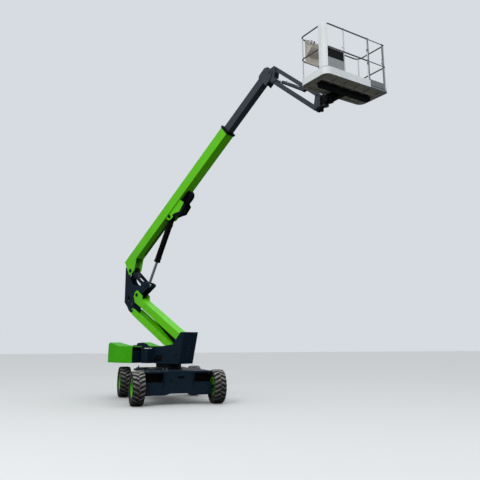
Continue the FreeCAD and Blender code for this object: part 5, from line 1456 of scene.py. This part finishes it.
class BOOMLIFT_OT_ground_controls(bpy.types.Operator):
    """Door and lid of the control box"""
    bl_idname = "boomlift.ground_controls"
    bl_label = "Ground controls"

    def execute(self, context):
        make_ground_controls()
        return {"FINISHED"}


class BOOMLIFT_OT_hoods(bpy.types.Operator):
    """Vent slots, pads and humped plates of the hoods"""
    bl_idname = "boomlift.hoods"
    bl_label = "Hoods"

    def execute(self, context):
        make_hood_trim(context.scene.boom_lift_sizes.slots)
        return {"FINISHED"}


class BOOMLIFT_OT_tower(bpy.types.Operator):
    """Cheeks, ribs and clamps of the tower's arms"""
    bl_idname = "boomlift.tower"
    bl_label = "Tower"

    def execute(self, context):
        make_tower_trim()
        return {"FINISHED"}


class BOOMLIFT_OT_tower_lines(bpy.types.Operator):
    """Hoses of the tower and ports of its cylinder"""
    bl_idname = "boomlift.tower_lines"
    bl_label = "Tower lines"

    def execute(self, context):
        make_tower_lines()
        return {"FINISHED"}


class BOOMLIFT_OT_riser(bpy.types.Operator):
    """Pin caps, cross tubes and sleeve of the riser"""
    bl_idname = "boomlift.riser"
    bl_label = "Riser"

    def execute(self, context):
        make_riser_trim()
        return {"FINISHED"}


class BOOMLIFT_OT_riser_lines(bpy.types.Operator):
    """Hoses and switch of the riser"""
    bl_idname = "boomlift.riser_lines"
    bl_label = "Riser lines"

    def execute(self, context):
        make_riser_lines(context.scene.boom_lift_sizes.hose)
        return {"FINISHED"}


class BOOMLIFT_OT_boom(bpy.types.Operator):
    """Weld beads, caps, pads and bracket edges of the boom"""
    bl_idname = "boomlift.boom"
    bl_label = "Boom"

    def execute(self, context):
        make_boom_trim()
        return {"FINISHED"}


class BOOMLIFT_OT_carrier(bpy.types.Operator):
    """Links and hoses of the carrier under the boom"""
    bl_idname = "boomlift.carrier"
    bl_label = "Hose carrier"

    def execute(self, context):
        make_carrier(context.scene.boom_lift_sizes.links)
        return {"FINISHED"}


class BOOMLIFT_OT_lift_lines(bpy.types.Operator):
    """Ports of the lift cylinder and hoses under the boom"""
    bl_idname = "boomlift.lift_lines"
    bl_label = "Lift lines"

    def execute(self, context):
        make_lift_lines()
        return {"FINISHED"}


class BOOMLIFT_OT_fly(bpy.types.Operator):
    """Pin caps and bolts of the fly boom's head"""
    bl_idname = "boomlift.fly"
    bl_label = "Fly boom"

    def execute(self, context):
        make_fly_trim()
        return {"FINISHED"}


class BOOMLIFT_OT_jib_head(bpy.types.Operator):
    """Caps, bolts and hoses of the jib's head"""
    bl_idname = "boomlift.jib_head"
    bl_label = "Jib head"

    def execute(self, context):
        make_jib_head()
        return {"FINISHED"}


class BOOMLIFT_OT_jib_end(bpy.types.Operator):
    """Caps, bolts and fittings of the jib's end"""
    bl_idname = "boomlift.jib_end"
    bl_label = "Jib end"

    def execute(self, context):
        make_jib_end()
        return {"FINISHED"}


class BOOMLIFT_OT_jib_arms(bpy.types.Operator):
    """Hoses, strips and cylinder ports of the jib's arms"""
    bl_idname = "boomlift.jib_arms"
    bl_label = "Jib arms"

    def execute(self, context):
        make_jib_arms()
        return {"FINISHED"}


class BOOMLIFT_OT_floor(bpy.types.Operator):
    """Tread bars of the platform's floor"""
    bl_idname = "boomlift.floor"
    bl_label = "Platform floor"

    def execute(self, context):
        make_floor()
        return {"FINISHED"}


class BOOMLIFT_OT_gate(bpy.types.Operator):
    """Kick plate, sill cover and latch"""
    bl_idname = "boomlift.gate"
    bl_label = "Gate"

    def execute(self, context):
        make_gate()
        return {"FINISHED"}


class BOOMLIFT_OT_panels(bpy.types.Operator):
    """Window, sheet, seam and grab loop of the corner panel"""
    bl_idname = "boomlift.panels"
    bl_label = "Panels"

    def execute(self, context):
        make_panels()
        return {"FINISHED"}


class BOOMLIFT_OT_console(bpy.types.Operator):
    """Desk, sticks, stop button and guard"""
    bl_idname = "boomlift.console"
    bl_label = "Console"

    def execute(self, context):
        make_console()
        return {"FINISHED"}


class BOOMLIFT_OT_rail_joints(bpy.types.Operator):
    """Collars, feet and rivets of the rails and toe boards"""
    bl_idname = "boomlift.rail_joints"
    bl_label = "Rail joints"

    def execute(self, context):
        make_rail_joints()
        return {"FINISHED"}


class BOOMLIFT_OT_underside(bpy.types.Operator):
    """Clamps and valve under the platform"""
    bl_idname = "boomlift.underside"
    bl_label = "Underside"

    def execute(self, context):
        make_underside()
        return {"FINISHED"}


class BOOMLIFT_OT_fittings(bpy.types.Operator):
    """Foot switch and lanyard rings"""
    bl_idname = "boomlift.fittings"
    bl_label = "Platform fittings"

    def execute(self, context):
        make_platform_fittings()
        return {"FINISHED"}


OPERATORS = (
    BOOMLIFT_OT_stage, BOOMLIFT_OT_materials, BOOMLIFT_OT_tyres, BOOMLIFT_OT_hubs,
    BOOMLIFT_OT_chassis_bolts, BOOMLIFT_OT_deck, BOOMLIFT_OT_axles, BOOMLIFT_OT_turntable,
    BOOMLIFT_OT_valves, BOOMLIFT_OT_ground_controls, BOOMLIFT_OT_hoods, BOOMLIFT_OT_tower,
    BOOMLIFT_OT_tower_lines, BOOMLIFT_OT_riser, BOOMLIFT_OT_riser_lines, BOOMLIFT_OT_boom,
    BOOMLIFT_OT_carrier, BOOMLIFT_OT_lift_lines, BOOMLIFT_OT_fly, BOOMLIFT_OT_jib_head,
    BOOMLIFT_OT_jib_end, BOOMLIFT_OT_jib_arms, BOOMLIFT_OT_floor, BOOMLIFT_OT_gate, BOOMLIFT_OT_panels,
    BOOMLIFT_OT_console, BOOMLIFT_OT_rail_joints, BOOMLIFT_OT_underside, BOOMLIFT_OT_fittings,
)


class BOOMLIFT_PT_panel(bpy.types.Panel):
    """Sizes, colours and steps in the sidebar"""
    bl_label = "Boom Lift"
    bl_idname = "BOOMLIFT_PT_panel"
    bl_space_type = "VIEW_3D"
    bl_region_type = "UI"
    bl_category = "Boom Lift"

    def draw(self, context):
        for group in (context.scene.boom_lift_sizes, context.scene.boom_lift_colours):
            for name in group.__annotations__:
                self.layout.prop(group, name)
        for item in OPERATORS:
            self.layout.operator(item.bl_idname)


CLASSES = (BoomLiftSizes, BoomLiftColours, *OPERATORS, BOOMLIFT_PT_panel)


def register():
    for item in CLASSES:
        bpy.utils.register_class(item)
    bpy.types.Scene.boom_lift_sizes = bpy.props.PointerProperty(type=BoomLiftSizes)
    bpy.types.Scene.boom_lift_colours = bpy.props.PointerProperty(type=BoomLiftColours)


def unregister():
    del bpy.types.Scene.boom_lift_colours
    del bpy.types.Scene.boom_lift_sizes
    for item in reversed(CLASSES):
        bpy.utils.unregister_class(item)


def main():
    """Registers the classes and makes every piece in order."""
    register()
    bpy.ops.boomlift.stage()
    bpy.ops.boomlift.materials()
    bpy.ops.boomlift.tyres()
    bpy.ops.boomlift.hubs()
    bpy.ops.boomlift.chassis_bolts()
    bpy.ops.boomlift.deck()
    bpy.ops.boomlift.axles()
    bpy.ops.boomlift.turntable()
    bpy.ops.boomlift.valves()
    bpy.ops.boomlift.ground_controls()
    bpy.ops.boomlift.hoods()
    bpy.ops.boomlift.tower()
    bpy.ops.boomlift.tower_lines()
    bpy.ops.boomlift.riser()
    bpy.ops.boomlift.riser_lines()
    bpy.ops.boomlift.boom()
    bpy.ops.boomlift.carrier()
    bpy.ops.boomlift.lift_lines()
    bpy.ops.boomlift.fly()
    bpy.ops.boomlift.jib_head()
    bpy.ops.boomlift.jib_end()
    bpy.ops.boomlift.jib_arms()
    bpy.ops.boomlift.floor()
    bpy.ops.boomlift.gate()
    bpy.ops.boomlift.panels()
    bpy.ops.boomlift.console()
    bpy.ops.boomlift.rail_joints()
    bpy.ops.boomlift.underside()
    bpy.ops.boomlift.fittings()


if __name__ == "__main__":
    main()
